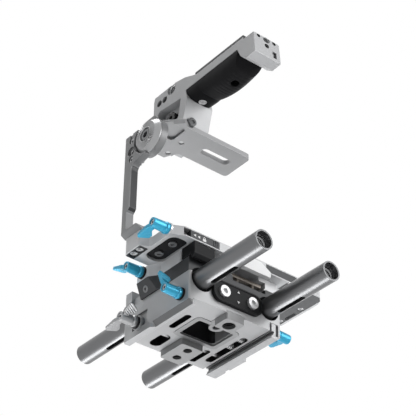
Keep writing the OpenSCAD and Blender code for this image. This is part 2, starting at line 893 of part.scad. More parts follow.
// Bevel on the outer lower edge of the left side, with a slanted front end
module side_chamfer() {
    intersection() {
        along_y(block_y0 - cut, side_cut_l + side_cut_run + cut)
            polygon([[-block_x - cut, -cut], [-block_x + side_cut, -cut], [-block_x + side_cut, 0],
                [-block_x, side_cut], [-block_x - cut, side_cut + cut]]);
        along_z(-2 * cut, side_cut + 4 * cut)
            polygon([[-block_x - cut, block_y0 - 2 * cut], [-block_x + side_cut + cut, block_y0 - 2 * cut],
                [-block_x + side_cut + cut, block_y0 + side_cut_l],
                [-block_x - cut, block_y0 + side_cut_l + side_cut_run]]);
    }
}

// Seat in the block for the tripod insert, with the pocket above it
module insert_seat() {
    along_z(-cut, insert_top + seam + cut) {
        translate([0, ring_y]) round_rect(ring_w + 2 * play, ring_l + 2 * play, ring_r + play);
        plate(-rear_tab_w / 2 - play, block_y0 - cut, rear_tab_w / 2 + play, ring_y);
        plate(-front_tab_w / 2 - play, ring_y, front_tab_w / 2 + play, front_tab_y1 + play);
    }
    translate([0, ring_y, 0]) along_z(insert_top - cut, pocket_top - insert_top + cut)
        round_rect(pocket_w, pocket_l, ring_r);
    bar_z(0, 0, channel_h, tripod_d / 2 + play, tripod_depth - channel_h);
    for (i = [0, 1]) bar_z(0, front_hole_y + i * front_hole_step, channel_h, screw_hole_d / 2 + play,
        tripod_depth - channel_h);
}

module tripod_insert() {
    color("#bfc1c3") difference() {
        union() {
            along_z(channel_h - insert_drop, insert_top - channel_h + insert_drop) difference() {
                translate([0, ring_y]) round_rect(ring_w, ring_l, ring_r);
                translate([0, ring_y])
                    round_rect(ring_w - 2 * ring_wall, ring_l - 2 * ring_wall, ring_r / 2);
            }
            along_z(channel_h - insert_drop, insert_top - channel_h + insert_drop) {
                plate(-tongue_w / 2, rear_tab_y1, tongue_w / 2, tongue_y);
                translate([0, tongue_y]) circle(d = tongue_w, $fn = round_fn);
                plate(-rear_tab_w / 2, block_y0, rear_tab_w / 2, ring_y - ring_l / 2 + ring_wall);
                plate(-front_tab_w / 2, ring_y + ring_l / 2 - ring_wall, front_tab_w / 2, front_tab_y1);
            }
            along_z(0, insert_top) {
                translate([0, (block_y0 + rear_tab_y1) / 2])
                    round_rect(rear_tab_w, rear_tab_y1 - block_y0, tab_r);
                translate([0, (front_tab_y0 + front_tab_y1) / 2])
                    round_rect(front_tab_w, front_tab_y1 - front_tab_y0, tab_r);
            }
        }
        bar_z(0, 0, -cut, tripod_d / 2, insert_top + 2 * cut);
        bar_z(0, tongue_y, -cut, tongue_hole_d / 2, insert_top + 2 * cut);
        for (i = [0, 1])
            bar_z(0, front_hole_y + i * front_hole_step, -cut, screw_hole_d / 2, insert_top + 2 * cut);
    }
}

module pad_plate() {
    color("#222325") difference() {
        translate([0, 0, pad_z]) along_y(block_y0 - pad_t, pad_t) round_rect(pad_w, pad_h, pad_r);
        translate([0, 0, pad_z]) along_y(block_y0 - pad_t - cut, pad_rim_d + cut)
            round_rect(pad_w - 2 * pad_rim, pad_h - 2 * pad_rim, pad_r - pad_rim);
        for (s = [-1, 1]) {
            bar_y(s * pad_screw_x, block_y0 - pad_t - cut, pad_z, pad_shank_d / 2 + fit, pad_t + 2 * cut);
            bar_y(s * pad_screw_x, block_y0 - pad_t - cut, pad_z, pad_head_d / 2 + play, pad_seat_d + cut);
        }
    }
}

module pad_screws() {
    color("#d7d8da") for (s = [-1, 1])
        translate([s * pad_screw_x, block_y0 - pad_t + pad_seat_d, pad_z]) rotate([90, 0, 0])
            socket_screw(pad_head_d, pad_head_l, pad_shank_d, pad_t - pad_seat_d + pad_shank_l - cut);
}

module dovetail_jaw() {
    jaw_y0 = block_y0;
    jaw_y1 = block_y1 - jaw_end_gap;
    color("#b9bbbe") difference() {
        union() {
            along_z(0, jaw_lip_h) polygon(rounded([[jaw_lip_x0, jaw_y0, 0], [jaw_lip_x1, jaw_y0, 0],
                [jaw_lip_x1, jaw_wide_y - jaw_step, 0], [jaw_wide_x1, jaw_wide_y, 0],
                [jaw_wide_x1, jaw_y1, jaw_end_r], [jaw_lip_x0, jaw_y1, jaw_end_r]]));
            along_y(jaw_y0, jaw_y1 - jaw_y0) polygon([[jaw_lip_x0, 0], [jaw_body_x1, 0],
                [jaw_body_x1, channel_h + jaw_channel_h - play],
                [jaw_lip_x0, channel_h + jaw_channel_h - play], [jaw_lip_x0, channel_h + play],
                [jaw_lip_x0 + undercut, channel_h + play], [jaw_lip_x0 + undercut, channel_h]]);
            for (i = [0, 1]) bar_x(jaw_pin_x0, jaw_pin_y + i * jaw_pin_step, jaw_pin_z,
                jaw_pin_d / 2, jaw_lip_x0 - jaw_pin_x0 + cut);
        }
        along_z(-cut, jaw_lip_h + 2 * cut)
            plate(jaw_wide_x1 - jaw_notch_d, jaw_notch_y, jaw_wide_x1 + cut, jaw_notch_y + jaw_notch_l);
        bar_x(jaw_lip_x0 - cut, jaw_lever_y, jaw_lever_z, stud_d / 2 + fit, block_x);
        bar_x(jaw_lip_x0 - cut, rear_lever_y, rear_lever_z, stud_d / 2 + play, block_x);
    }
}

module jaw_springs() {
    x0 = spring_slot_x - spring_slot_w / 2 + play;
    color("#c8c9cb") for (i = [0, 1]) translate([x0, jaw_pin_y + i * jaw_pin_step, jaw_pin_z])
        wire_spring(spring_d, spring_wire_d, jaw_spring_l, spring_turns);
}

// Plan of the stacked plates, with the lug that carries the riser lever
module stack_plan(y0, step_y) {
    polygon([[-block_x, y0], [block_x, y0], [block_x, lug_y1], [-block_x - lug_out, lug_y1],
        [-block_x - lug_out, lug_y0], [-block_x, step_y]]);
}

module bridge_plate() {
    color("#3a3c3f") difference() {
        intersection() {
            along_z(wall_top, bridge_top - wall_top) stack_plan(bridge_y0, lug_step_y);
            along_y(bridge_y0, lug_y1 - bridge_y0) polygon([[-block_x - lug_out + lug_lean, wall_top],
                [block_x, wall_top], [block_x, bridge_top], [-block_x - lug_out, bridge_top]]);
        }
        along_y(deck_y0 - seam, lug_y1 - deck_y0 + seam + cut)
            plate(-deck_x - seam, wall_top - cut, deck_x + seam, deck_top);
        for (s = [-1, 1])
            bar_y(s * rod_x, bridge_y0 - cut, rod_z, rod_r + mouth_gap, bridge_back_t + 2 * cut);
        latch_recess();
        at_riser_screws() bar_z(0, 0, deck_top - cut, riser_screw_d / 2 + fit, bridge_h + 2 * cut);
        lug_screw_hole();
    }
}

// Space below the channel into which the latch bar drops
module latch_recess() {
    along_z(deck_top, bridge_top - deck_top + cut)
        plate(shoe_x - recess_w / 2, bridge_y0 - cut, shoe_x + recess_w / 2, riser_back_y + recess_l);
}

module lug_screw_at() {
    slope = atan(lug_lean / (bridge_top - wall_top));
    share = (lug_screw_z - wall_top) / (bridge_top - wall_top);
    translate([-block_x - lug_out + lug_lean * (1 - share), lug_screw_y, lug_screw_z])
        rotate([0, -90 - slope, 0]) children();
}

module lug_screw_hole() {
    lug_screw_at() translate([0, 0, -lug_screw_l / 2])
        cylinder(d = lug_screw_d + fit, h = lug_screw_l, $fn = round_fn);
}

module lug_screw() {
    color("#6c6e71") lug_screw_at() translate([0, 0, -lug_screw_l / 2]) difference() {
        cylinder(d = lug_screw_d, h = lug_screw_l / 2, $fn = round_fn);
        translate([0, 0, lug_screw_l / 4]) hex_socket(lug_screw_d * hex_share, lug_screw_l);
    }
}

module riser_block() {
    color("#c6c8ca") difference() {
        along_z(bridge_top, riser_h) polygon(rounded([[-block_x, riser_y0, riser_r],
            [riser_step_x, riser_y0, 0], [riser_step_x, riser_back_y, edge],
            [block_x, riser_back_y, riser_r], [block_x, lug_y1, edge], [-block_x - lug_out, lug_y1, edge],
            [-block_x - lug_out, lug_y0, 0], [-block_x, lug_step_y, 0]]));
        along_y(riser_back_y - cut, lug_y1 - stop_l - riser_back_y + cut) {
            plate(shoe_x - channel_w / 2, bridge_top + channel_floor, shoe_x + channel_w / 2,
                bridge_top + channel_floor + channel_height);
            plate(shoe_x - neck_w / 2, bridge_top + channel_floor, shoe_x + neck_w / 2, riser_top + cut);
        }
        along_z(bridge_top - cut, channel_floor + 2 * cut)
            plate(shoe_x - recess_w / 2, riser_back_y - cut, shoe_x + recess_w / 2, riser_back_y + recess_l);
        bar_y(button_stem_x, riser_y0 - cut, button_stem_z, spring_bore_d / 2, spring_bore_l + cut);
        bar_y(button_stem_x, riser_y0, button_stem_z, button_stem_d / 2 + fit,
            button_y1 + button_stem_l + button_stroke + play - riser_y0);
        bar_x(-block_x - lug_out - cut, riser_lever_y, riser_lever_z, stud_d / 2 + fit,
            block_x + lug_out + shoe_x - channel_w / 2 + 2 * cut);
        at_riser_screws() {
            bar_z(0, 0, bridge_top - cut, riser_screw_d / 2 + fit, riser_h + 2 * cut);
            bar_z(0, 0, riser_head_z, riser_head_d / 2 + play, riser_h);
        }
    }
}

module at_riser_screws() {
    for (x = [riser_screw_left_x, riser_screw_right_x], i = [0, 1])
        translate([x, riser_screw_y + i * riser_screw_step, 0]) children();
}

module riser_screws() {
    color("#8c8e91") at_riser_screws() translate([0, 0, riser_head_z])
        socket_screw(riser_head_d, riser_head_l, riser_screw_d, riser_screw_l);
}

module release_button() {
    front = bridge_y0 - button_stroke - play;
    color("#232427") union() {
        along_x(button_x0, button_x1 - button_x0) polygon(rounded([
            [button_y0, riser_top - button_gap, button_r], [button_y1, riser_top - button_gap, 0],
            [button_y1, bridge_top + play, 0],
            [front, bridge_top + play, 0], [front, button_z0, button_r],
            [button_y0, button_z0 + button_lean, button_r]]));
        bar_y(button_stem_x, button_y1 - cut, button_stem_z, button_stem_d / 2, button_stem_l + cut);
    }
}

module release_spring() {
    color("#c8c9cb") translate([button_stem_x, release_spring_y, button_stem_z]) rotate([0, 0, 90])
        wire_spring(release_spring_d, spring_wire_d, release_spring_l, release_turns);
}

module latch_bar() {
    z0 = bridge_top + latch_lift;
    color("#7d7467") union() {
        along_x(shoe_x - latch_w / 2, latch_w) polygon(rounded([[latch_y, z0, edge],
            [latch_y + latch_t, z0, 0], [latch_y + latch_t, z0 + latch_h, 0],
            [latch_y, z0 + latch_h, edge]]));
        for (s = [-1, 1]) bar_z(shoe_x + s * latch_pin_step / 2, latch_y + latch_t / 2,
            deck_top - latch_pin_l, latch_pin_d / 2, z0 - deck_top + latch_pin_l + cut / 2);
    }
}

module shoe_plate() {
    y1 = lug_y1 - stop_l - shoe_end_gap;
    z0 = bridge_top + channel_floor + play / 2;
    z1 = bridge_top + channel_floor + channel_height - play / 2;
    color("#4a4c4f") difference() {
        union() {
            along_y(y1 - shoe_l, shoe_l)
                plate(shoe_x - channel_w / 2 + play, z0, shoe_x + channel_w / 2 - play, z1);
            along_y(y1 - shoe_l, shoe_l)
                plate(shoe_x - neck_w / 2 + play, z0, shoe_x + neck_w / 2 - play, riser_top);
        }
        for (i = [0, 1]) {
            bar_z(shoe_x, y1 - shoe_l / 2 + (i - 0.5) * shoe_screw_step, z0 - cut,
                shoe_screw_d / 2 + fit, riser_top - z0 + 2 * cut);
            bar_z(shoe_x, y1 - shoe_l / 2 + (i - 0.5) * shoe_screw_step, z0 - cut,
                shoe_head_d / 2 + play, shoe_head_l + play + cut);
        }
    }
}

module shoe_screws() {
    y = lug_y1 - stop_l - shoe_end_gap - shoe_l / 2;
    z = bridge_top + channel_floor + play / 2 + shoe_head_l + play;
    color("#8c8e91") for (i = [0, 1])
        translate([shoe_x, y + (i - 0.5) * shoe_screw_step, z]) rotate([180, 0, 0])
            socket_screw(shoe_head_d, shoe_head_l, shoe_screw_d, base_top - cut - z);
}

module shoe_bracket() {
    z0 = riser_top - bracket_drop;
    z1 = riser_top + bracket_rise;
    color("#dcddde") difference() {
        union() {
            along_y(base_y0 - bracket_t, bracket_t) polygon(rounded([[bracket_x0, riser_top, 0],
                [bracket_x0 + bracket_slope, z0, 0], [bracket_x1, z0, edge],
                [bracket_x1, riser_top, edge], [bracket_x1 - bracket_slope, z1, bracket_foot_l],
                [bracket_x0 + bracket_slope, z1, bracket_foot_l], [bracket_x0, z1 - bracket_foot_l, edge]]));
            along_y(base_y0 - cut / 2, bracket_foot_l)
                plate(bracket_x0 + bracket_slope, z0, bracket_x1, riser_top);
        }
        bar_y(bracket_eye_x, base_y0 - bracket_t - cut, riser_top + bracket_eye_z,
            bracket_eye_d / 2, bracket_t + 2 * cut);
    }
}

// Plan of the cage base
module base_plan() {
    polygon(rounded([[-cage_left, base_left_y, base_left_r],
        [-cage_left + base_left_step * 2, base_y0, base_left_r], [cage_right, base_y0, base_right_r],
        [cage_right, base_front_y, base_front_r], [-base_step_x, base_front_y, lobe_r],
        [-base_step_x - base_step_run, base_y1, lobe_r], [-lobe_x, base_y1, lobe_r],
        [-lobe_x, lobe_y0, lobe_r], [-lobe_waist, lobe_step_y, lobe_r / 2],
        [-cage_left, lobe_step_y - lobe_r, lobe_r]]));
}

module lobe_plan(inner_x) {
    polygon(rounded([[-lobe_x, lobe_y0, lobe_r], [-lobe_waist, lobe_step_y, 0],
        [inner_x, lobe_step_y, 0], [inner_x, base_y1, 0], [-lobe_x, base_y1, lobe_r]]));
}

module base_liner_plan(gap) {
    translate([liner_x, liner_y]) round_rect(liner_w + 2 * gap, liner_l + 2 * gap, liner_r + gap);
}

module at_arm_screws() {
    for (i = [0, 1]) translate([arm_screw_x, arm_screw_y + i * arm_screw_step, 0]) children();
}

module cage_base() {
    lobe_top = base_top + lobe_h;
    color("#cfd1d3") difference() {
        union() {
            along_z(riser_top, base_h) base_plan();
            along_z(riser_top, base_h + lobe_h) lobe_plan(foot_x1);
        }
        along_z(riser_top - cut, liner_d + cut) base_liner_plan(0);
        for (y = [liner_rear_y, liner_front_y])
            bar_z(liner_x, y, riser_top, liner_screw_d / 4 + fit, base_h - cut);
        along_y(base_y0 - cut, lock_depth + cut)
            plate(lock_x0, riser_top + lock_lip, lock_x1, base_top - lock_lip);
        along_y(base_y0 - cut, insert_d + cut)
            plate(insert_x0, riser_top + lock_lip, insert_x1, base_top - lock_lip);
        translate([right_pocket_x, right_pocket_y]) along_z(riser_top - cut, right_pocket_d + cut)
            round_rect(right_pocket_w, right_pocket_l, right_pocket_r);
        translate([right_slot_x, right_slot_y]) along_z(riser_top - cut, base_h + 2 * cut)
            rotate(90) slot(right_slot_l, right_slot_w);
        for (i = [0, 1])
            bar_z(right_screw_x, right_screw_y + i * right_screw_step, riser_top - cut,
                side_screw_d / 2 + fit, side_screw_l + cut);
        at_arm_screws() {
            bar_z(0, 0, riser_top - cut, arm_head_d / 2 + play, arm_head_l + arm_head_sink + cut);
            bar_z(0, 0, riser_top, arm_screw_d / 2 + fit, base_h + lobe_h + cut);
        }
        bar_x(-cage_left - cut, cage_lever_y, cage_lever_z, stud_d / 2 + fit, cage_stud_reach + 2 * cut);
        for (i = [0, 1])
            bar_z(shoe_x, lug_y1 - stop_l - shoe_end_gap - shoe_l / 2 + (i - 0.5) * shoe_screw_step,
                riser_top - cut, shoe_screw_d / 2 + fit, base_h);
        along_z(base_top - base_pad_t, base_pad_t + cut) base_pad_plan(seam);
        camera_slot();
    }
}

// Slot under the camera for its screw
module camera_slot() {
    translate([pad_slot_x, base_pad_y]) along_z(riser_top - cut, base_h + 2 * cut)
        slot(pad_slot_l, pad_slot_w);
}

module base_pad_plan(gap) {
    translate([base_pad_x, base_pad_y])
        round_rect(base_pad_w + 2 * gap, base_pad_l + 2 * gap, base_pad_r + gap);
}

module base_pad() {
    color("#2b2c2e") difference() {
        along_z(base_top - base_pad_t, 2 * base_pad_t - seam) base_pad_plan(0);
        translate([pad_slot_x, base_pad_y]) along_z(riser_top - cut, base_h + 4 * cut)
            slot(pad_slot_l + 2 * play, pad_slot_w + 2 * play);
        for (i = [0, 1])
            bar_z(shoe_x, lug_y1 - stop_l - shoe_end_gap - shoe_l / 2 + (i - 0.5) * shoe_screw_step,
                riser_top, shoe_screw_d / 2 + play, base_h + cut);
    }
}

module base_liner() {
    color("#1d1e20") difference() {
        along_z(riser_top + liner_d - liner_t, liner_t) base_liner_plan(-play);
        for (y = [liner_rear_y, liner_front_y])
            bar_z(liner_x, y, riser_top, liner_screw_d / 4 + fit, liner_d + cut);
    }
}

module liner_screws() {
    color("#55575a") for (y = [liner_rear_y, liner_front_y])
        translate([liner_x, y, riser_top + liner_d - liner_t]) rotate([180, 0, 0])
            socket_screw(liner_screw_d, liner_screw_h, liner_screw_d / 2, liner_d);
}

module lock_slide() {
    x1 = lock_x1 - play;
    color("#3d3f42") difference() {
        along_y(base_y0 + seam, lock_depth - 2 * seam)
            plate(x1 - lock_slide_l, riser_top + lock_lip + seam / 2, x1, base_top - lock_lip - seam / 2);
        for (i = [0:slide_ribs - 1])
            bar_z(x1 - slide_rib_inset - i * slide_rib_pitch, base_y0 + seam, riser_top,
                slide_rib_r, base_h);
    }
}

module rear_insert() {
    color("#46484b") along_y(base_y0, insert_d)
        plate(insert_x0 + seam, riser_top + lock_lip + seam, insert_x1 - seam, base_top - lock_lip - seam);
}

module arm_screws() {
    color("#d7d8da") at_arm_screws() translate([0, 0, riser_top + arm_head_l + arm_head_sink])
        rotate([180, 0, 0]) socket_screw(arm_head_d, arm_head_l, arm_screw_d, arm_screw_l);
}

module side_screws() {
    color("#d7d8da") for (i = [0, 1])
        translate([right_screw_x, right_screw_y + i * right_screw_step, riser_top + edge]) difference() {
            cylinder(d = side_screw_d, h = side_screw_l - edge - seam, $fn = round_fn);
            translate([0, 0, -cut]) hex_socket(side_screw_d * hex_share, cut + edge);
        }
}

// Side view of the arm: foot, bar, pad and the beam that runs back to the rosette
module arm_outline() {
    foot_z = base_top + lobe_h;
    beam_z = cage_roof - beam_h;
    polygon(rounded([[foot_y0, foot_z, 0], [arm_y1 - edge, foot_z, 0], [arm_y1, foot_z + foot_h, 0],
        [arm_y1, cage_roof, edge], [rosette_y, cage_roof, 0], [rosette_y, beam_z, 0],
        [arm_y1 - bar_w, beam_z - beam_rise, bar_low_w], [arm_y1 - bar_w, bar_step_z + bar_step, edge],
        [arm_y1 - bar_low_w, bar_step_z, edge], [arm_y1 - bar_low_w, foot_neck_z, foot_h],
        [foot_y0 + foot_h, foot_neck_z, foot_h], [foot_y0, foot_z + edge, 0]]));
}

module cage_arm() {
    foot_z = base_top + lobe_h;
    color("#b9bbbd") difference() {
        union() {
            intersection() {
                along_x(arm_x0, arm_t) arm_outline();
                along_y(foot_y0 - carrier_r, arm_y1 - foot_y0 + 2 * carrier_r) polygon([[-lobe_x, foot_z],
                    [arm_x0, foot_z + foot_h], [arm_x0, top_z], [arm_x0 + arm_t, top_z],
                    [arm_x0 + arm_t, foot_z]]);
            }
            along_z(foot_z, foot_h) plate(arm_x0 + arm_t - cut, foot_y0, foot_x1, base_y1);
            bar_x(carrier_x0, rosette_y, rosette_z, carrier_r, carrier_x1 - carrier_x0);
            strap_lug();
        }
        bar_x(arm_x0 - cut, rosette_y, rosette_z, rosette_base_r + play, carrier_x0 - arm_x0 + cut);
        bar_x(arm_x0 - cut, rosette_y, rosette_z, bush_d / 2 + fit, arm_t * 2 + cut);
        along_x(arm_x0 - cut, arm_t + 2 * cut) strap_hole();
        bar_x(arm_x0 - cut, pad_hole_y, pad_hole_z, screw_hole_d / 2, arm_t + 2 * cut);
        bar_x(arm_x0 - cut, pad_hole_y, pad_hole_z, pad_hole_sink_d / 2, pad_hole_sink + cut);
        bar_x(arm_x0 - cut, pad_hole_y, pad_low_z, flange_screw_d / 2 + fit, arm_t + 2 * cut);
        bar_x(arm_x0 - cut, pad_hole_y, pad_low_z, flange_head_d / 2 + play, flange_screw_d + cut);
        bar_x(arm_x0 - cut, pad_hole_y, pad_slot_z, flange_screw_d / 2 + fit, arm_t + 2 * cut);
        bar_x(arm_x0 - cut, pad_hole_y, pad_slot_z, flange_head_d / 2 + play, flange_screw_d + cut);
        pad_groove();
        at_arm_screws() bar_z(0, 0, foot_z - cut, arm_screw_d / 2 + fit, foot_h + 2 * cut);
    }
}

// Shallow groove above the upper screw of the pad
module pad_groove() {
    translate([arm_x0 - cut, pad_hole_y, pad_slot_z + pad_slot_run / 2]) rotate([0, 90, 0])
        linear_extrude(cut + edge) slot(pad_slot_run, pad_slot_d);
}

// Strap lug that rises over the beam beside the rosette
module strap_lug() {
    along_x(arm_x0 + arm_t - lug_t, lug_t) polygon(rounded([[lug_y, cage_roof - cut, 0],
        [lug_y + lug_w, cage_roof - cut, 0], [lug_y + lug_w - edge, cage_roof + lug_rise, lug_hole_h],
        [lug_y + edge, cage_roof + lug_rise, lug_hole_h]]));
}

module strap_hole() {
    translate([lug_y + lug_w / 2, cage_roof + lug_hole_h / 2 + edge]) slot(lug_hole_w, lug_hole_h);
}

// Round toothed face that an accessory arm meshes with
module rosette() {
    color("#c3c5c7") difference() {
        translate([rosette_x0, rosette_y, rosette_z]) rotate([0, 90, 0]) rotate_extrude($fn = round_fn)
            polygon([[bush_d / 2 + fit, rosette_dish_d], [rosette_dish_r, rosette_dish_d],
                [rosette_dish_r, 0], [rosette_r, 0], [rosette_r + edge / 2, edge],
                [rosette_base_r, carrier_x0 - rosette_x0 - edge], [rosette_base_r, carrier_x0 - rosette_x0],
                [bush_d / 2 + fit, carrier_x0 - rosette_x0]]);
        for (i = [0:rosette_teeth - 1])
            translate([rosette_x0, rosette_y, rosette_z]) rotate([360 * i / rosette_teeth, 0, 0])
                tooth_gap();
    }
}

// V groove between two teeth, which deepens from the middle to the rim
module tooth_gap() {
    half = PI * rosette_r / rosette_teeth;
    spread = half * (1 + tooth_over / tooth_d);
    rotate([0, 0, -atan(tooth_d / rosette_r)]) along_y(rosette_teeth_r, rosette_base_r - rosette_teeth_r)
        polygon([[0, 0], [-tooth_d - tooth_over, spread], [-tooth_d - tooth_over, -spread]]);
}

module rosette_bolt() {
    x0 = rosette_x0 + rosette_dish_d - bush_head_l;
    color("#6b6d70") difference() {
        union() {
            bar_x(x0, rosette_y, rosette_z, bush_head_d / 2, bush_head_l);
            bar_x(x0, rosette_y, rosette_z, bush_d / 2, carrier_x1 - seam - x0);
        }
        bar_x(x0 - cut, rosette_y, rosette_z, bush_eye_d / 2, carrier_x1 - x0 + 2 * cut);
    }
}

module cage_top() {
    color("#c1c3c5") difference() {
        union() {
            along_z(cage_roof, top_h) polygon(rounded([[top_x0, rosette_y - carrier_r / 2, edge],
                [top_nose_x, top_nose_y, edge], [top_notch_x, top_y0, edge], [top_x1, top_y0, right_end_r],
                [top_x1, top_right_y1, right_end_r], [top_neck_x, top_right_y1, right_end_r],
                [top_neck_x - top_neck_run, top_y1, edge], [arm_x0 + arm_t, top_y1, 0],
                [arm_x0 + arm_t, flange_y0, 0], [top_x0, flange_y0, 0]]));
            along_x(arm_x0 + arm_t, flange_t)
                plate(flange_y0, cage_roof - flange_h, top_y1, cage_roof + edge);
            translate([arm_x0 + arm_t + flange_t, 0, 0]) along_y(flange_y0, top_y1 - flange_y0)
                polygon([[-cut, cage_roof + edge], [-cut, cage_roof - gusset], [0, cage_roof - gusset],
                    [gusset, cage_roof], [gusset, cage_roof + edge]]);
        }
        translate([top_pocket_x, top_pocket_y]) along_z(cage_roof - cut, top_pocket_d + cut)
            round_rect(top_pocket_w, top_pocket_l, top_pocket_r);
        translate([top_slot_x, (top_y0 + top_right_y1) / 2]) along_z(cage_roof - cut, top_h + 2 * cut)
            slot(top_slot_l, top_slot_w);
        bar_y(pin_x, top_nose_y - cut, pin_z, pin_groove_r, rail_y0 - top_nose_y + cut);
        for (z = [pad_low_z, pad_slot_z])
            bar_x(arm_x0 + arm_t - cut, pad_hole_y, z, flange_screw_d / 2 + fit, flange_t + 2 * cut);
        at_rail_screws() bar_z(0, 0, cage_roof - cut, rail_screw_d / 2 + fit, top_h + 2 * cut);
        bar_x(arm_x0 + arm_t - cut, pad_hole_y, pad_hole_z, screw_hole_d / 2 + play, cut + flange_relief);
    }
}

module flange_screws() {
    color("#9a9c9f") for (z = [pad_low_z, pad_slot_z])
        translate([arm_x0 + flange_screw_d, pad_hole_y, z]) rotate([0, -90, 0])
            socket_screw(flange_head_d, flange_screw_d - edge, flange_screw_d,
                arm_t - flange_screw_d + flange_t - edge);
}

module at_rail_screws() {
    for (s = [-1, 1]) translate([rail_x, (rail_y0 + rail_y1 + s * rail_screw_step) / 2, 0]) children();
}

// Cross-section of the dovetail rail, grown by gap on every flank
module rail_section(gap) {
    w = rail_w / 2 + gap;
    foot = rail_foot_w / 2 + gap;
    rise = (rail_w - rail_foot_w) / 2;
    translate([rail_x, top_z]) polygon([[-foot, gap > 0 ? -cut : 0], [foot, gap > 0 ? -cut : 0],
        [foot, rail_foot_h - gap], [w, rail_foot_h + rise - gap], [w, rail_h + gap], [-w, rail_h + gap],
        [-w, rail_foot_h + rise - gap], [-foot, rail_foot_h - gap]]);
}

module top_rail() {
    color("#a9abae") difference() {
        along_y(rail_y0, rail_y1 - rail_y0) rail_section(0);
        at_rail_screws() {
            bar_z(0, 0, top_z - cut, rail_screw_d / 2 + fit, rail_h + 2 * cut);
            bar_z(0, 0, top_z + rail_foot_h, rail_head_d / 2 + play, rail_h);
        }
    }
}

module rail_screws() {
    color("#8c8e91") at_rail_screws() translate([0, 0, top_z + rail_foot_h])
        socket_screw(rail_head_d, rail_h - rail_foot_h - edge, rail_screw_d, top_h + rail_foot_h - edge);
}

// Point of the handle's side view from its two shares
function handle_point(s) = [handle_y0 + s[0] * handle_l, top_z + s[1] * handle_h, s[2] * handle_h];

module handle_side() { polygon(rounded([for (s = handle_outline_shares) handle_point(s)])); }
module window_side() { polygon(rounded([for (s = window_outline_shares) handle_point(s)])); }
module inlay_side() { polygon(rounded([for (s = inlay_outline_shares) handle_point(s)])); }

module handle_frame() {
    right = handle_x0 + handle_w;
    fixed_jaw_top = jaw_hook_z0 + fixed_jaw_h;
    color("#b4b6b8") difference() {
        union() {
            intersection() {
                along_x(handle_x0, handle_w) handle_side();
                along_y(handle_y0 - cut, handle_l + 2 * cut) handle_section();
            }
            along_y(fixed_jaw_y0, leg_y1 - fixed_jaw_y0) polygon([[right - cut, jaw_hook_z0],
                [right + fixed_jaw_out, jaw_hook_z0], [right + fixed_jaw_out, fixed_jaw_top],
                [right, fixed_jaw_top + fixed_jaw_out], [right - cut, fixed_jaw_top + fixed_jaw_out]]);
        }
        along_x(handle_x0 - cut, window_d + cut) window_side();
        along_y(rail_y0 - play, leg_y1 - rail_y0 + play + cut) {
            rail_section(play);
            plate(handle_x0 - cut, top_z - cut, rail_x, top_z + rail_h + play);
            plate(handle_x0 - cut, top_z - cut, jaw_hook_x1 + clamp_gap,
                handle_point(window_outline_shares[2]).y + cut);
        }
        bar_y(pin_x, handle_y0, pin_z, pin_d / 2 + fit, rail_y0 - play - handle_y0);
        bar_x(handle_x0, knob_y, knob_z, knob_stud_d / 2 + fit, window_d + web_hole_l);
        for (h = [[cheek_hole_y, cheek_hole_drop, cheek_hole_d],
            [cheek_mid_y, cheek_small_drop, cheek_small_d],
            [cheek_front_y, cheek_small_drop, cheek_small_d]])
            bar_x(handle_x0 - cut, h[0], handle_top - h[1], h[2] / 2, handle_w + 2 * cut);
        bar_y(rail_x, handle_y0 - cut, bar_z0 + head_hole_rise, screw_hole_d / 2, head_hole_depth + cut);
        head_bevel();
        bar_y(rail_x, handle_y0 - cut, bar_z0 - head_low_hole_drop, head_low_hole_d / 2,
            head_hole_depth + cut);
        for (s = [-1, 1]) bar_y(rail_x + s * head_pin_x, handle_y0 - cut, bar_z0 + head_hole_rise,
            head_pin_d / 2, head_hole_depth / 2);
        translate([rail_x + head_notch_x, handle_y0 - cut, bar_z0 - head_notch_drop])
            cube([head_notch_w, head_notch_d + 2 * cut, head_notch_h]);
        for (y = [grip_screw_y, grip_hole_y])
            bar_z(rail_x, y, bar_z0 - cut, grip_shank_d / 2 + fit, bar_h - cut);
    }
}

// Bevels along the upper edges of the head
module head_bevel() {
    for (s = [-1, 1]) along_y(handle_y0 - cut, handle_outline_shares[3][0] * handle_l + cut)
        polygon([[rail_x + s * (handle_w / 2 - head_chamfer), head_top + cut / 2],
            [rail_x + s * (handle_w / 2 - head_chamfer), head_top],
            [rail_x + s * handle_w / 2, head_top - head_chamfer],
            [rail_x + s * (handle_w / 2 + cut), head_top - head_chamfer],
            [rail_x + s * (handle_w / 2 + cut), head_top + cut / 2]]);
}

// Front view of the handle: straight cheeks, bevelled along the top
module handle_section() {
    right = handle_x0 + handle_w;
    polygon(rounded([[handle_x0, 0, 0], [right, 0, 0], [right, handle_top - head_chamfer, edge],
        [right - head_chamfer, handle_top, edge], [handle_x0 + head_chamfer, handle_top, edge],
        [handle_x0, handle_top - head_chamfer, edge]]));
}

module handle_inlay() {
    color("#4e5053") along_x(handle_x0 + seam, handle_w - 2 * seam) inlay_side();
}

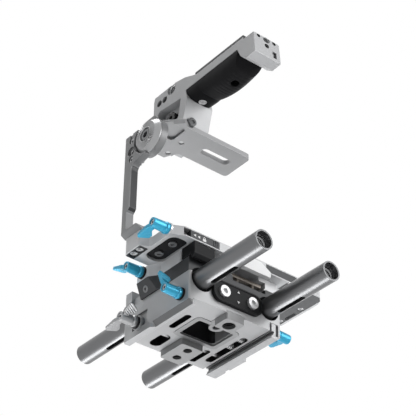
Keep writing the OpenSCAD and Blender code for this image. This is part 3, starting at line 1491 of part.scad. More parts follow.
module handle_grip() {
    y_end = grip_y0 - grip_rear_run;
    belly = sag_arc([y_end, grip_rear_z], [grip_bump_y, grip_bump_z], belly_sag, belly_steps);
    color("#1b1b1c") difference() {
        intersection() {
            along_x(handle_x0, handle_w) polygon(concat([[grip_y1, bar_z0], [grip_y0, bar_z0]], belly,
                [[grip_bump_y + grip_bump_run, grip_bump_z - grip_bump_drop], [grip_leg_y, grip_leg_z]]));
            along_y(y_end - cut, grip_y1 - y_end + 2 * cut) polygon(rounded([
                [handle_x0, bar_z0 + cut, 0], [handle_x0, bar_z0 - grip_side_drop, grip_round],
                [rail_x, bar_z0 - grip_drop - grip_keel, grip_keel_r],
                [handle_x0 + handle_w, bar_z0 - grip_side_drop, grip_round],
                [handle_x0 + handle_w, bar_z0 + cut, 0]]));
        }
        for (i = [0:rib_count - 1])
            bar_x(handle_x0 - cut, rib_y0 + i * rib_pitch, belly_at(rib_y0 + i * rib_pitch) - rib_depth,
                rib_r, handle_w + 2 * cut);
        for (y = [grip_screw_y, grip_hole_y])
            bar_z(rail_x, y, bar_z0 - 2 * grip_drop, grip_shank_d / 2 + play, 2 * grip_drop + cut);
        bar_z(rail_x, grip_screw_y, bar_z0 - 2 * grip_drop, grip_head_d / 2 + play,
            grip_screw_z - bar_z0 + 2 * grip_drop + grip_head_l);
        bar_z(rail_x, grip_hole_y, bar_z0 - 2 * grip_drop, grip_head_d / 2 + play,
            2 * grip_drop - grip_deep_l);
    }
}

// Height of the grip's belly at a station y
function belly_at(y) =
    let (a = [grip_y0 - grip_rear_run, grip_rear_z], b = [grip_bump_y, grip_bump_z])
    let (chord = norm(b - a), r = (chord * chord / 4 + belly_sag * belly_sag) / (2 * belly_sag))
    let (dir = unit(b - a), c = (a + b) / 2 + [-dir.y, dir.x] * (r - belly_sag))
    c.y - sqrt(r * r - (y - c.x) * (y - c.x));

module grip_screws() {
    color("#d7d8da") {
        translate([rail_x, grip_screw_y, grip_screw_z + grip_head_l]) rotate([180, 0, 0])
            socket_screw(grip_head_d, grip_head_l, grip_shank_d,
                bar_z0 - grip_screw_z - grip_head_l + grip_shank_reach);
        translate([rail_x, grip_hole_y, bar_z0 - grip_deep_l]) rotate([180, 0, 0])
            socket_screw(grip_head_d, grip_head_l, grip_shank_d, grip_deep_l + grip_shank_reach);
    }
}

// Sliding jaw that grips the left flank of the rail
module clamp_jaw() {
    color("#b0b2b4") difference() {
        union() {
            along_y(rail_y0 + edge, jaw_hook_l) polygon([[jaw_hook_x0 + clamp_lean, jaw_hook_z0],
                [jaw_hook_x1, jaw_hook_z0], [jaw_hook_x1, jaw_hook_z1], [jaw_hook_x0, jaw_hook_z1],
                [jaw_hook_x0, jaw_hook_z1 - clamp_lean]]);
            along_x(jaw_hook_x1 - jaw_tongue_t, jaw_tongue_t)
                plate(rail_y0 + edge, jaw_hook_z1 - cut, knob_y + jaw_tongue_w / 2,
                    jaw_hook_z1 + jaw_tongue_h);
        }
        along_y(rail_y0, rail_l) rail_section(seam);
        bar_x(jaw_hook_x0 - cut, knob_y, knob_z, knob_stud_d / 2 + fit, 2 * window_d + cut);
    }
}

// Star knob with its stud, which draws the clamp jaw in
module clamp_knob() {
    x0 = jaw_hook_x1 - jaw_tongue_t - knob_gap - knob_l;
    color("#17181a") difference() {
        union() {
            bar_x(x0, knob_y, knob_z, knob_d / 2, knob_l);
            bar_x(x0, knob_y, knob_z, knob_stud_d / 2, knob_l + jaw_tongue_t + knob_gap + web_hole_l);
        }
        for (i = [0:knob_lobes - 1]) translate([0, knob_y, knob_z]) rotate([360 * i / knob_lobes, 0, 0])
            bar_x(x0 - cut, knob_d / 2 + knob_scallop * knob_scallop_out_share, 0, knob_scallop,
                knob_l + 2 * cut);
        translate([x0 - cut, knob_y, knob_z]) rotate([0, 90, 0]) hex_socket(knob_hex_d, knob_l / 2 + cut);
    }
}

module lock_pin() {
    y0 = rail_y0 - pin_out;
    color("#74787c") difference() {
        bar_y(pin_x, y0, pin_z, pin_d / 2, pin_l);
        bar_y(pin_x, y0 - cut, pin_z, pin_d / 4, cut + edge);
    }
}

// The five clamping levers, each with its stud
module lever_rear_left() { lever(-block_x, rear_lever_y, rear_lever_z, -1, rear_wing_turn); }
module lever_rear_right() { lever(block_x, rear_lever_y, rear_lever_z, 1, right_wing_turn); }
module lever_riser() { lever(-block_x - lug_out, riser_lever_y, riser_lever_z, -1, riser_wing_turn); }
module lever_cage() { lever(-cage_left, cage_lever_y, cage_lever_z, -1, cage_wing_turn); }

module lever(x, y, z, side, turn) {
    color("#35a8cc") on_seat(x + side * washer_t, y, z, side) {
        lever_barrel();
        lever_wing(turn, wing_l);
    }
}

module lever_jaw() {
    color("#c4c6c8") on_seat(-block_x - lever_boss_l - washer_t, jaw_lever_y, jaw_lever_z, -1) {
        lever_barrel();
        lever_wing(jaw_wing_turn, wing_l);
        lever_wing(jaw_wing_rear_turn, wing_l * jaw_wing_share);
    }
}

module stud(x, y, z, side, reach) {
    color("#d7d8da") on_seat(x + side * washer_t, y, z, side) lever_stud(reach);
}

module stud_rear_left() { stud(-block_x, rear_lever_y, rear_lever_z, -1, rear_stud_reach); }
module stud_rear_right() {
    stud(block_x, rear_lever_y, rear_lever_z, 1, rear_stud_reach + jaw_channel_in);
}
module stud_riser() { stud(-block_x - lug_out, riser_lever_y, riser_lever_z, -1, riser_stud_reach); }
module stud_cage() { stud(-cage_left, cage_lever_y, cage_lever_z, -1, cage_stud_reach); }
module stud_jaw() { stud(-block_x - lever_boss_l, jaw_lever_y, jaw_lever_z, -1, jaw_stud_reach); }

module base_washers() {
    color("#1e1f21") {
        washer(-block_x, rear_lever_y, rear_lever_z, -1);
        washer(block_x, rear_lever_y, rear_lever_z, 1);
        washer(-block_x - lug_out, riser_lever_y, riser_lever_z, -1);
        washer(-block_x - lever_boss_l, jaw_lever_y, jaw_lever_z, -1);
    }
}

module cage_washer() { color("#d0d1d3") washer(-cage_left, cage_lever_y, cage_lever_z, -1); }

echo(jaw_spring_gap = coil_gap(spring_d, spring_wire_d, jaw_spring_l, spring_turns));
echo(release_spring_gap = coil_gap(release_spring_d, spring_wire_d, release_spring_l, release_turns));

rod_block();
rod_left();
rod_right();
tripod_insert();
pad_plate();
pad_screws();
dovetail_jaw();
jaw_springs();
bridge_plate();
lug_screw();
riser_block();
riser_screws();
release_button();
release_spring();
latch_bar();
shoe_plate();
shoe_screws();
shoe_bracket();
cage_base();
base_liner();
liner_screws();
lock_slide();
rear_insert();
base_pad();
arm_screws();
side_screws();
cage_arm();
rosette();
rosette_bolt();
cage_top();
flange_screws();
top_rail();
rail_screws();
handle_frame();
handle_inlay();
handle_grip();
grip_screws();
clamp_jaw();
clamp_knob();
lock_pin();
lever_rear_left();
lever_rear_right();
lever_jaw();
lever_riser();
lever_cage();
stud_rear_left();
stud_rear_right();
stud_jaw();
stud_riser();
stud_cage();
base_washers();
cage_washer();
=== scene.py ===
import bpy, bmesh, math
from mathutils import Matrix, Vector


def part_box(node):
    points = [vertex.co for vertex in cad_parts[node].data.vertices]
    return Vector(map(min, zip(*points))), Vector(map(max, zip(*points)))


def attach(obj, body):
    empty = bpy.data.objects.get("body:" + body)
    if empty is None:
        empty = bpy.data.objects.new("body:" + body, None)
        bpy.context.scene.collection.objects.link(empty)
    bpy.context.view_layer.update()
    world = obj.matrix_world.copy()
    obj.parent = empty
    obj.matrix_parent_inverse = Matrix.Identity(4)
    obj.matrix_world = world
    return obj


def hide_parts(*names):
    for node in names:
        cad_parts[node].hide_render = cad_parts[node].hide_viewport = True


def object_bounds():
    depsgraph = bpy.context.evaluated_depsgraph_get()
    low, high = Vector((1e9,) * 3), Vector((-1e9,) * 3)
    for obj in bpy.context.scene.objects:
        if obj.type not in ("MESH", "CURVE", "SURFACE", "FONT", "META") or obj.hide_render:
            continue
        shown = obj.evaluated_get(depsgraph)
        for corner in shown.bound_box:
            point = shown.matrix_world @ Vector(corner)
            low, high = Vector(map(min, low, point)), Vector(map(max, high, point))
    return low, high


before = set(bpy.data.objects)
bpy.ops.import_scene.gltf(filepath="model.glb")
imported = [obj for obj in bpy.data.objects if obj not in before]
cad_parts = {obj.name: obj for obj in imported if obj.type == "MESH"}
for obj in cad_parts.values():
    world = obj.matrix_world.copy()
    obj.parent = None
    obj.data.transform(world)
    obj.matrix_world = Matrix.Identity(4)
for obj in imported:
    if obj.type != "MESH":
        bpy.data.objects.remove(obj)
cad_lo, cad_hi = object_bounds()
scene = bpy.context.scene


# Camera at the photograph's angle, in degrees, metres and millimetres of lens
AZIMUTH, ELEVATION, ROLL = -38.66, -34.65, 0.745
CAMERA_PLACE = (-0.56017, -0.67549, -0.50797)
LENS, SENSOR = 127.3, 36
CLIP_NEAR, CLIP_FAR = 0.01, 20


def place_camera():
    a, e, t = (math.radians(v) for v in (AZIMUTH, ELEVATION, ROLL))
    back = Vector((math.sin(a) * math.cos(e), -math.cos(a) * math.cos(e), math.sin(e)))
    ahead = -back
    right = ahead.cross(Vector((0, 0, 1))).normalized()
    up = right.cross(ahead)
    image_x = right * math.cos(t) + up * math.sin(t)
    image_y = -right * math.sin(t) + up * math.cos(t)
    data = bpy.data.cameras.new("camera")
    data.lens = LENS
    data.sensor_width = SENSOR
    data.clip_start = CLIP_NEAR
    data.clip_end = CLIP_FAR
    cam = bpy.data.objects.new("camera", data)
    turn = Matrix((image_x, image_y, back)).transposed().to_4x4()
    cam.matrix_world = Matrix.Translation(CAMERA_PLACE) @ turn
    scene.collection.objects.link(cam)
    scene.camera = cam


place_camera()


# Finishes: lengths in metres, noise scales in cells to the metre
BEVEL_SAMPLES, EDGE_GAIN = 6, 4.0
SHADE_SAMPLES, SHADE_FROM, SHADE_TO = 8, 0.22, 0.7
BLOTCH, EDGE_PATCHES = (45, 4, 0.55), (350, 4, 0.7)  # a noise's scale, detail and roughness
FINE, GLOSS = (3, 0.6), (4, 0.6)  # detail and roughness; the scale is the grain's
GLOSS_WIDTH = 9  # how much wider the patches of gloss are than the grain
BLOTCH_STOPS, FINE_STOPS = (0.3, 0.7), (0.25, 0.75)
FINE_CONTRAST = 1.5
LEAST_ROUGH = 0.03
# Black of the painted shade in the block's pockets and the cage base's screw recess
RECESS_SHADE_BLACK = (0.008, 0.008, 0.009)


class Nodes:
    """Small helper around the node tree of a material or a world"""

    def __init__(self, owner, output="ShaderNodeOutputMaterial"):
        owner.use_nodes = True
        self.owner = owner
        self.tree = owner.node_tree
        self.tree.nodes.clear()
        self.out = self.add(output)

    def add(self, kind, **values):
        node = self.tree.nodes.new(kind)
        for key, value in values.items():
            setattr(node, key, value)
        return node

    def feed(self, slot, value):
        """Set a slot to a number or a colour, or link another node's output to it"""
        if isinstance(value, tuple):
            slot.default_value = (*value, 1)
        elif isinstance(value, (int, float)):
            slot.default_value = value
        else:
            self.tree.links.new(value, slot)

    def feed_all(self, node, **values):
        """The same for named slots, with _ in a key where the slot's name has a space"""
        for key, value in values.items():
            self.feed(node.inputs[key.replace("_", " ")], value)

    def coords(self, scale=(1, 1, 1)):
        place = self.add("ShaderNodeTexCoord")
        mapping = self.add("ShaderNodeMapping")
        mapping.inputs["Scale"].default_value = scale
        self.feed_all(mapping, Vector=place.outputs["Object"])
        return mapping.outputs["Vector"]

    def noise(self, vector, scale, detail, rough):
        node = self.add("ShaderNodeTexNoise")
        self.feed_all(node, Vector=vector, Scale=scale, Detail=detail, Roughness=rough)
        return node.outputs["Fac"]

    def ramp(self, factor, stops, values):
        """Ramp from one value to another, numbers or colours, between two stops"""
        node = self.add("ShaderNodeValToRGB")
        for element, place, value in zip(node.color_ramp.elements, stops, values):
            element.position = place
            colour = value if isinstance(value, tuple) else (value, value, value)
            element.color = (*colour, 1)
        self.feed_all(node, Fac=factor)
        return node.outputs["Color"]

    def math(self, kind, a, b, clamp=False):
        node = self.add("ShaderNodeMath", operation=kind, use_clamp=clamp)
        self.feed(node.inputs[0], a)
        self.feed(node.inputs[1], b)
        return node.outputs[0]

    def mix(self, factor, a, b):
        """Mix of two colours"""
        node = self.add("ShaderNodeMix", data_type="RGBA")
        self.feed_all(node, Factor=factor)
        for slot, value in zip([s for s in node.inputs if s.type == "RGBA"], (a, b)):
            self.feed(slot, value)
        return next(s for s in node.outputs if s.type == "RGBA")

    def mix_shader(self, factor, a, b):
        """Mix of two shaders, sent to the tree's output"""
        node = self.add("ShaderNodeMixShader")
        for slot, value in zip(node.inputs, (factor, a, b)):
            self.feed(slot, value)
        self.feed_all(self.out, Surface=node.outputs[0])

    def edges(self, radius):
        """Normal with rounded edges, and a mask that is 1 along them"""
        bevel = self.add("ShaderNodeBevel", samples=BEVEL_SAMPLES)
        self.feed_all(bevel, Radius=radius)
        place = self.add("ShaderNodeNewGeometry")
        dot = self.add("ShaderNodeVectorMath", operation="DOT_PRODUCT")
        self.feed(dot.inputs[0], bevel.outputs["Normal"])
        self.feed(dot.inputs[1], place.outputs["Normal"])
        mask = self.math("SUBTRACT", 1.0, dot.outputs["Value"], clamp=True)
        return bevel.outputs["Normal"], self.math("MULTIPLY", mask, EDGE_GAIN, clamp=True)

    def inside(self, low, high):
        """1 inside a box given in millimetres of the part's frame, 0 outside it"""
        place = self.add("ShaderNodeTexCoord")
        axes = self.add("ShaderNodeSeparateXYZ")
        self.feed(axes.inputs[0], place.outputs["Object"])
        share = 1.0
        for k in range(3):
            for kind, limit in (("GREATER_THAN", low[k]), ("LESS_THAN", high[k])):
                share = self.math("MULTIPLY", share, self.math(kind, axes.outputs[k], limit / 1000))
        return share

    def bump(self, height, strength, distance, normal):
        node = self.add("ShaderNodeBump")
        self.feed_all(node, Strength=strength, Distance=distance, Height=height, Normal=normal)
        return node.outputs["Normal"]


def scaled(colour, share):
    return tuple(min(1.0, c * share) for c in colour)


def around(colour, share):
    """The colour made darker and lighter by a share of itself"""
    return scaled(colour, 1 - share), scaled(colour, 1 + share)


def surface(name, colour, metallic, rough, edge_wear_and_highlight=None, spread=0.06, grain=2600, bump=0.12,
            depth=0.00004, edge=0.00035, stretch=(1, 1, 1), tint=0.06, deep=0.25, reach=0.011,
            shine=0.5, dark=()):
    """Finished surface: blotchy tone, fine grain, rounded edges lighter in patches as wear and as
    painted highlight, and painted shade in its recesses.

    spread is how far its roughness strays, bump and depth are the grain's relief, edge is the
    radius of its edges, deep is the share of the colour left as painted shade in recesses no wider
    than reach, and dark lists boxes of another tone, each as its low corner, high corner and tone;
    most of these boxes are painted shade."""
    n = Nodes(bpy.data.materials.new(name))
    normal, rim = n.edges(edge)
    fine = n.noise(n.coords(stretch), grain, *FINE)
    wide = n.noise(n.coords(), *BLOTCH)
    base = n.mix(0.5, n.ramp(wide, BLOTCH_STOPS, around(colour, tint)),
                 n.ramp(fine, FINE_STOPS, around(colour, FINE_CONTRAST * tint)))
    # Lighter edges in patches: partly wear, partly painted highlight
    if edge_wear_and_highlight:
        edge_patches = n.noise(n.coords(), *EDGE_PATCHES)
        base = n.mix(n.math("MULTIPLY", rim, edge_patches, clamp=True), base, edge_wear_and_highlight)
    # Painted shade: the colour darkens in recesses no wider than reach, by ambient occlusion
    shade = n.add("ShaderNodeAmbientOcclusion", samples=SHADE_SAMPLES, only_local=True)
    n.feed_all(shade, Distance=reach)
    open_share = n.ramp(shade.outputs["AO"], (SHADE_FROM, SHADE_TO), (0.0, 1.0))
    base = n.mix(open_share, scaled(colour, deep), base)
    for low_corner, high_corner, tone in dark:
        base = n.mix(n.inside(low_corner, high_corner), base, tone)
    gloss = n.add("ShaderNodeMapRange")
    n.feed_all(gloss, To_Min=max(LEAST_ROUGH, rough - spread), To_Max=rough + spread,
               Value=n.noise(n.coords(stretch), grain / GLOSS_WIDTH, *GLOSS))
    shader = n.add("ShaderNodeBsdfPrincipled")
    n.feed_all(shader, Metallic=metallic, Specular_IOR_Level=shine, Base_Color=base,
               Roughness=gloss.outputs["Result"], Normal=n.bump(fine, bump, depth, normal))
    n.feed_all(n.out, Surface=shader.outputs["BSDF"])
    return n.owner


# Boxes of another tone: painted shade in the block's pockets, on its chamfer, on the arm and in the
# cage base's screw recess, and a darker inlay on the cage base
POCKET_SHADE = (((-14.8, 12.9, 6.5), (14.8, 36.3, 25)), ((-27.2, 12, 5), (-21.6, 34.6, 13.5)),
           ((23.4, 11.9, 5), (29.8, 56.4, 13.5)), ((14, 42.2, 5), (19.6, 63.2, 13.5)),
           ((-23.8, 43.6, 5), (-14.2, 62.6, 13.5)), ((-39.2, -7.3, 13), (-20.8, -1.2, 31.6)),
           ((20.8, -7.3, 13), (39.2, -1.2, 31.6)))
# Painted shade on the block's lower left chamfer
CHAMFER_SHADE = ((-41.2, -8, -0.1), (-37.7, 33.3, 3.5), (0.15, 0.151, 0.154))
# Painted shade on the arm's rear face
ARM_FACE_SHADE = ((-69.4, 25.6, 80), (-58, 28.4, 121), (0.05, 0.051, 0.053))
# Painted shade in the cage base's recess round the arm screws
SCREW_RECESS_SHADE = ((-66.2, 16.5, 46.7), (-58.9, 33.9, 48.6), RECESS_SHADE_BLACK)
RIGHT_INLAY = ((44, -11.6, 46.6), (79.6, 37.4, 47.2), (0.075, 0.077, 0.08))

SILVER = surface("silver_satin", (0.42, 0.424, 0.432), 0.15, 0.36, edge_wear_and_highlight=(0.8, 0.81, 0.82))
INSERT = surface("insert_satin", (0.3, 0.303, 0.308), 0.15, 0.36, edge_wear_and_highlight=(0.7, 0.71, 0.72))
BLOCK = surface("block_satin", (0.42, 0.424, 0.432), 0.15, 0.36, edge_wear_and_highlight=(0.8, 0.81, 0.82),
                dark=[(low, high, RECESS_SHADE_BLACK) for low, high in POCKET_SHADE] + [CHAMFER_SHADE])
RISER = surface("riser_satin", (0.62, 0.625, 0.635), 0.15, 0.36, edge_wear_and_highlight=(0.85, 0.86, 0.87),
                reach=0.006)
ARM = surface("arm_satin", (0.24, 0.243, 0.248), 0.1, 0.38, edge_wear_and_highlight=(0.6, 0.61, 0.62), shine=0.3,
              dark=[ARM_FACE_SHADE])
TOP = surface("top_satin", (0.33, 0.333, 0.34), 0.2, 0.36, edge_wear_and_highlight=(0.75, 0.76, 0.77))
CARRIER = surface("rosette_satin", (0.42, 0.423, 0.43), 0.3, 0.3, edge_wear_and_highlight=(0.9, 0.9, 0.91),
                  deep=0.12, reach=0.004)
CAGE = surface("base_satin", (0.52, 0.525, 0.535), 0.15, 0.36, edge_wear_and_highlight=(0.8, 0.81, 0.82),
               dark=[SCREW_RECESS_SHADE, RIGHT_INLAY])
LEVER = surface("lever_satin", (0.33, 0.333, 0.34), 0.45, 0.24, edge_wear_and_highlight=(0.9, 0.9, 0.91),
                deep=0.1, reach=0.004)
BRIGHT = surface("bright_steel", (0.7, 0.7, 0.71), 0.4, 0.28, edge_wear_and_highlight=(0.95, 0.95, 0.95),
                 deep=0.9, reach=0.002)
HANDLE = surface("handle_satin", (0.53, 0.535, 0.545), 0.05, 0.42, edge_wear_and_highlight=(0.6, 0.605, 0.61),
                 shine=0.25)
ROD = surface("rod_gunmetal", (0.15, 0.152, 0.156), 0.85, 0.36, edge_wear_and_highlight=(0.4, 0.405, 0.41),
              spread=0.02, grain=900, bump=0.004, depth=0.00001, edge=0.00015,
              stretch=(8, 0.25, 8), tint=0.03, reach=0.004)
CHARCOAL = surface("plate_charcoal", (0.04, 0.042, 0.045), 0.1, 0.42, edge_wear_and_highlight=(0.25, 0.26, 0.27),
                   shine=0.35)
BLACK = surface("black_anodised", (0.011, 0.0115, 0.0125), 0.0, 0.42, edge_wear_and_highlight=(0.12, 0.12, 0.125),
                shine=0.1)
BLUE = surface("blue_anodised", (0.025, 0.33, 0.52), 0.35, 0.3, edge_wear_and_highlight=(0.3, 0.68, 0.85), deep=0.4)
STEEL = surface("screw_steel", (0.56, 0.565, 0.575), 0.6, 0.3, edge_wear_and_highlight=(0.9, 0.9, 0.91), reach=0.003)
DARK_STEEL = surface("dark_steel", (0.16, 0.165, 0.17), 0.6, 0.35, edge_wear_and_highlight=(0.5, 0.5, 0.5),
                     reach=0.004)
BRONZE = surface("latch_bronze", (0.17, 0.15, 0.13), 0.4, 0.36, edge_wear_and_highlight=(0.4, 0.36, 0.32))
RUBBER = surface("grip_rubber", (0.008, 0.008, 0.009), 0.0, 0.62, edge_wear_and_highlight=(0.03, 0.03, 0.031),
                 spread=0.08, grain=1900, bump=0.5, depth=0.00008, edge=0.0008, shine=0.1)
PLASTIC = surface("black_plastic", (0.014, 0.014, 0.015), 0.0, 0.45, grain=1400, bump=0.3,
                  depth=0.00005, shine=0.3)
WHITE = surface("white_satin", (0.8, 0.805, 0.81), 0.0, 0.36, edge_wear_and_highlight=(0.9, 0.9, 0.9), deep=0.9)
THREAD = surface("thread_steel", (0.3, 0.305, 0.31), 0.5, 0.3, edge=0.00006, deep=0.3, reach=0.002)
HOLE_THREAD = surface("thread_shaded", (0.03, 0.0305, 0.031), 0.2, 0.4, edge=0.00006,
                      reach=0.002, shine=0.3)
PAINT = surface("white_paint", (0.78, 0.78, 0.78), 0.0, 0.5, spread=0.05, grain=3000, bump=0.1,
                depth=0.00002, edge=0.00003, deep=0.9)

LOOKS = {
    "rod_block": BLOCK, "rod_left": ROD, "rod_right": ROD, "tripod_insert": INSERT,
    "pad_plate": BLACK, "pad_screws": BRIGHT, "dovetail_jaw": SILVER, "jaw_springs": STEEL,
    "bridge_plate": CHARCOAL, "lug_screw": DARK_STEEL, "riser_block": RISER,
    "riser_screws": STEEL, "release_button": BLACK, "release_spring": STEEL,
    "latch_bar": BRONZE, "shoe_plate": CHARCOAL, "shoe_screws": STEEL, "shoe_bracket": WHITE,
    # base_liner: black sheet in the base's recess, standing in for the recess's shade
    "cage_base": CAGE, "base_liner": BLACK, "liner_screws": DARK_STEEL, "lock_slide": CHARCOAL,
    "rear_insert": CHARCOAL, "base_pad": RUBBER, "arm_screws": BRIGHT, "side_screws": BRIGHT,
    "cage_arm": ARM, "rosette": CARRIER, "rosette_bolt": DARK_STEEL, "cage_top": TOP,
    "flange_screws": STEEL, "top_rail": SILVER, "rail_screws": STEEL, "handle_frame": HANDLE,
    "handle_inlay": CHARCOAL, "handle_grip": RUBBER, "grip_screws": BRIGHT,
    "clamp_jaw": HANDLE, "clamp_knob": PLASTIC, "lock_pin": DARK_STEEL,
    "lever_rear_left": BLUE, "lever_rear_right": BLUE, "lever_jaw": LEVER,
    "lever_riser": BLUE, "lever_cage": BLUE, "stud_rear_left": STEEL,
    "stud_rear_right": STEEL, "stud_jaw": STEEL, "stud_riser": STEEL, "stud_cage": STEEL,
    "base_washers": BLACK, "cage_washer": STEEL,
}
for name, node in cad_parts.items():
    node.data.materials.clear()
    node.data.materials.append(LOOKS[name])


# Pieces made here, all in millimetres of the part's frame
def add_piece(name, points, faces, look, body, smooth=False):
    mesh = bpy.data.meshes.new(name)
    mesh.from_pydata([[c / 1000 for c in point] for point in points], [], faces)
    mesh.materials.append(look)
    build = bmesh.new()
    build.from_mesh(mesh)
    bmesh.ops.recalc_face_normals(build, faces=build.faces)
    for face in build.faces:
        face.smooth = smooth
    build.to_mesh(mesh)
    build.free()
    piece = bpy.data.objects.new(name, mesh)
    scene.collection.objects.link(piece)
    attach(piece, body)
    return piece


# Screw threads: helical ridges laid in the plain holes
THREAD_STEPS = 40  # to the turn
RIDGE_FOOT, RIDGE_TALL = 0.36, 0.5  # half the ridge's foot and its height, in pitches
RIDGE_SUNK = 0.02  # how far the foot lies in the hole's wall
M12, UNC_3_8, UNC_1_4 = (5.1, 1.75), (4.75, 1.5875), (3.2, 1.27)  # radius of the hole and pitch
ROD_X, ROD_Z, ROD_START, ROD_LENGTH = 30, 22.3, 5.2, 14
HOLES = (  # name, mouth, way out, kind, start below the mouth, length, look and body
    ("tripod_thread_large", (0, 0, 0), (0, 0, -1), UNC_3_8, 1.2, 4.2, HOLE_THREAD, "base"),
    ("tripod_thread_rear", (0, 45.6, 0), (0, 0, -1), UNC_1_4, 1, 4.4, HOLE_THREAD, "base"),
    ("tripod_thread_front", (0, 58, 0), (0, 0, -1), UNC_1_4, 1, 4.4, HOLE_THREAD, "base"),
    ("handle_thread_side", (-48, 10.1, 190.9), (-1, 0, 0), UNC_3_8, 1.2, 21.6, THREAD, "handle"),
    ("handle_thread_head", (-36, -84, 183.386), (0, -1, 0), UNC_1_4, 1, 8, THREAD, "handle"),
    ("arm_thread", (-68.8, 27.4, 131.9), (-1, 0, 0), UNC_1_4, 0.6, 3.6, THREAD, "cage"),
)


def thread(name, mouth, out, kind, start, length, look, body, finish):
    """Thread in a hole, with out pointing out of its mouth"""
    r, pitch = kind
    mouth, out = Vector(mouth), Vector(out)
    side = out.orthogonal().normalized()
    other = out.cross(side)
    foot = pitch * RIDGE_FOOT
    section = ((RIDGE_SUNK, -foot), (-pitch * RIDGE_TALL, 0), (RIDGE_SUNK, foot))
    last = int(length / pitch * THREAD_STEPS)
    points, faces = [], []
    for i in range(last + 1):
        turn = 2 * math.pi * i / THREAD_STEPS
        spoke = side * math.cos(turn) + other * math.sin(turn)
        far = start + pitch * i / THREAD_STEPS
        points += [mouth + spoke * (r + lift) - out * (far + shift) for lift, shift in section]
    for a in range(0, 3 * last, 3):
        for k, m in ((0, 1), (1, 2), (2, 0)):
            faces.append((a + k, a + m, a + 3 + m, a + 3 + k))
    faces += [(0, 1, 2), (3 * last, 3 * last + 1, 3 * last + 2)]
    add_piece(name, points, faces, look, body)


for side, x in (("left", -ROD_X), ("right", ROD_X)):
    ends = [c.y * 1000 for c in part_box("rod_" + side)]
    for place, y, way in (("rear", ends[0], -1), ("front", ends[1], 1)):
        thread("rod_" + side + "_thread_" + place, (x, y, ROD_Z), (0, way, 0), M12, ROD_START,
               ROD_LENGTH, THREAD, side + "_rod", "gunmetal")
for hole in HOLES:
    thread(*hole, "silver")


# Rubber grip in millimetres: round belly with ribs, scooped rear end, step before the screw
GRIP_TOP, GRIP_X, GRIP_HALF = 179.2, -36, 11.9
GRIP_REAR, GRIP_STEP, GRIP_FRONT = -69.3, -21.0, -7.6
END_DEPTH, BELLY, STEP_LENGTH, STEP_DEPTH, TAPER, SCOOP = 8.8, 5.9, 4, 0.6, 0.9, 9.5
SIDE_POWER, LOW_POWER, BELLY_POWER, SCOOP_POWER = 0.62, 0.72, 0.85, 0.85  # less is squarer
RIB_REAR, RIB_FRONT, RIB_FADE, RIB_PITCH, RIB_DEPTH = -60, -31, 3, 3.1, 0.32
RIB_NARROWING, RIB_POWER = 1.4, 3
ACROSS, ALONG = 44, 190  # how many faces
CUT_STEPS, CUT_RADIUS, CUT_START = 32, 3.3, 155
SCREW_Y, SCREW_TOP, HOLE_Y, HOLE_TOP = -12.4, 172.75, -49.4, 173.4
SHARP = math.radians(35)


def grip_depth(y):
    if y < GRIP_STEP:
        share = (y - GRIP_REAR) / (GRIP_STEP - GRIP_REAR)
        return END_DEPTH + BELLY * math.sin(math.pi * max(0.0, share)) ** BELLY_POWER
    far = y - GRIP_STEP
    if far < STEP_LENGTH:
        return END_DEPTH + STEP_DEPTH * math.sin(math.pi / 2 * far / STEP_LENGTH)
    share = (far - STEP_LENGTH) / (GRIP_FRONT - GRIP_STEP - STEP_LENGTH)
    return END_DEPTH + STEP_DEPTH - TAPER * share


def grip_point(i, k):
    """Point of ring i of ALONG, k of ACROSS round the belly from side to side"""
    angle = math.pi * k / ACROSS
    wide = -math.copysign(abs(math.cos(angle)) ** SIDE_POWER, math.cos(angle))
    low = math.sin(angle) ** LOW_POWER
    rear = GRIP_REAR + SCOOP * low ** SCOOP_POWER
    y = rear + (GRIP_FRONT - rear) * i / ALONG
    middle = max(0.0, 1 - wide * wide * RIB_NARROWING)
    ribbed = min(1.0, max(0.0, (y - RIB_REAR) / RIB_FADE), max(0.0, (RIB_FRONT - y) / RIB_FADE))
    rib = max(0.0, math.sin(2 * math.pi * y / RIB_PITCH)) ** RIB_POWER
    deep = grip_depth(y) * low - RIB_DEPTH * middle * ribbed * rib
    return GRIP_X + GRIP_HALF * wide, y, GRIP_TOP - deep


def cut_hole(piece, name, y, top):
    """Cut a round hole upward into the piece, as far as top"""
    n = CUT_STEPS
    turns = [2 * math.pi * t / n for t in range(n)]
    ring = [(GRIP_X + CUT_RADIUS * math.cos(t), y + CUT_RADIUS * math.sin(t)) for t in turns]
    mesh = bpy.data.meshes.new(name)
    mesh.from_pydata([(u / 1000, v / 1000, z / 1000) for z in (CUT_START, top) for u, v in ring],
                     [], [tuple(range(n))[::-1], tuple(range(n, 2 * n))]
                     + [(t, (t + 1) % n, n + (t + 1) % n, n + t) for t in range(n)])
    cutter = bpy.data.objects.new(name, mesh)
    scene.collection.objects.link(cutter)
    change = piece.modifiers.new(name, "BOOLEAN")
    change.operation = "DIFFERENCE"
    change.solver = "EXACT"
    change.object = cutter
    bpy.context.view_layer.update()
    shaped = piece.evaluated_get(bpy.context.evaluated_depsgraph_get())
    shaped = bpy.data.meshes.new_from_object(shaped)
    piece.modifiers.clear()
    piece.data = shaped
    bpy.data.objects.remove(cutter)


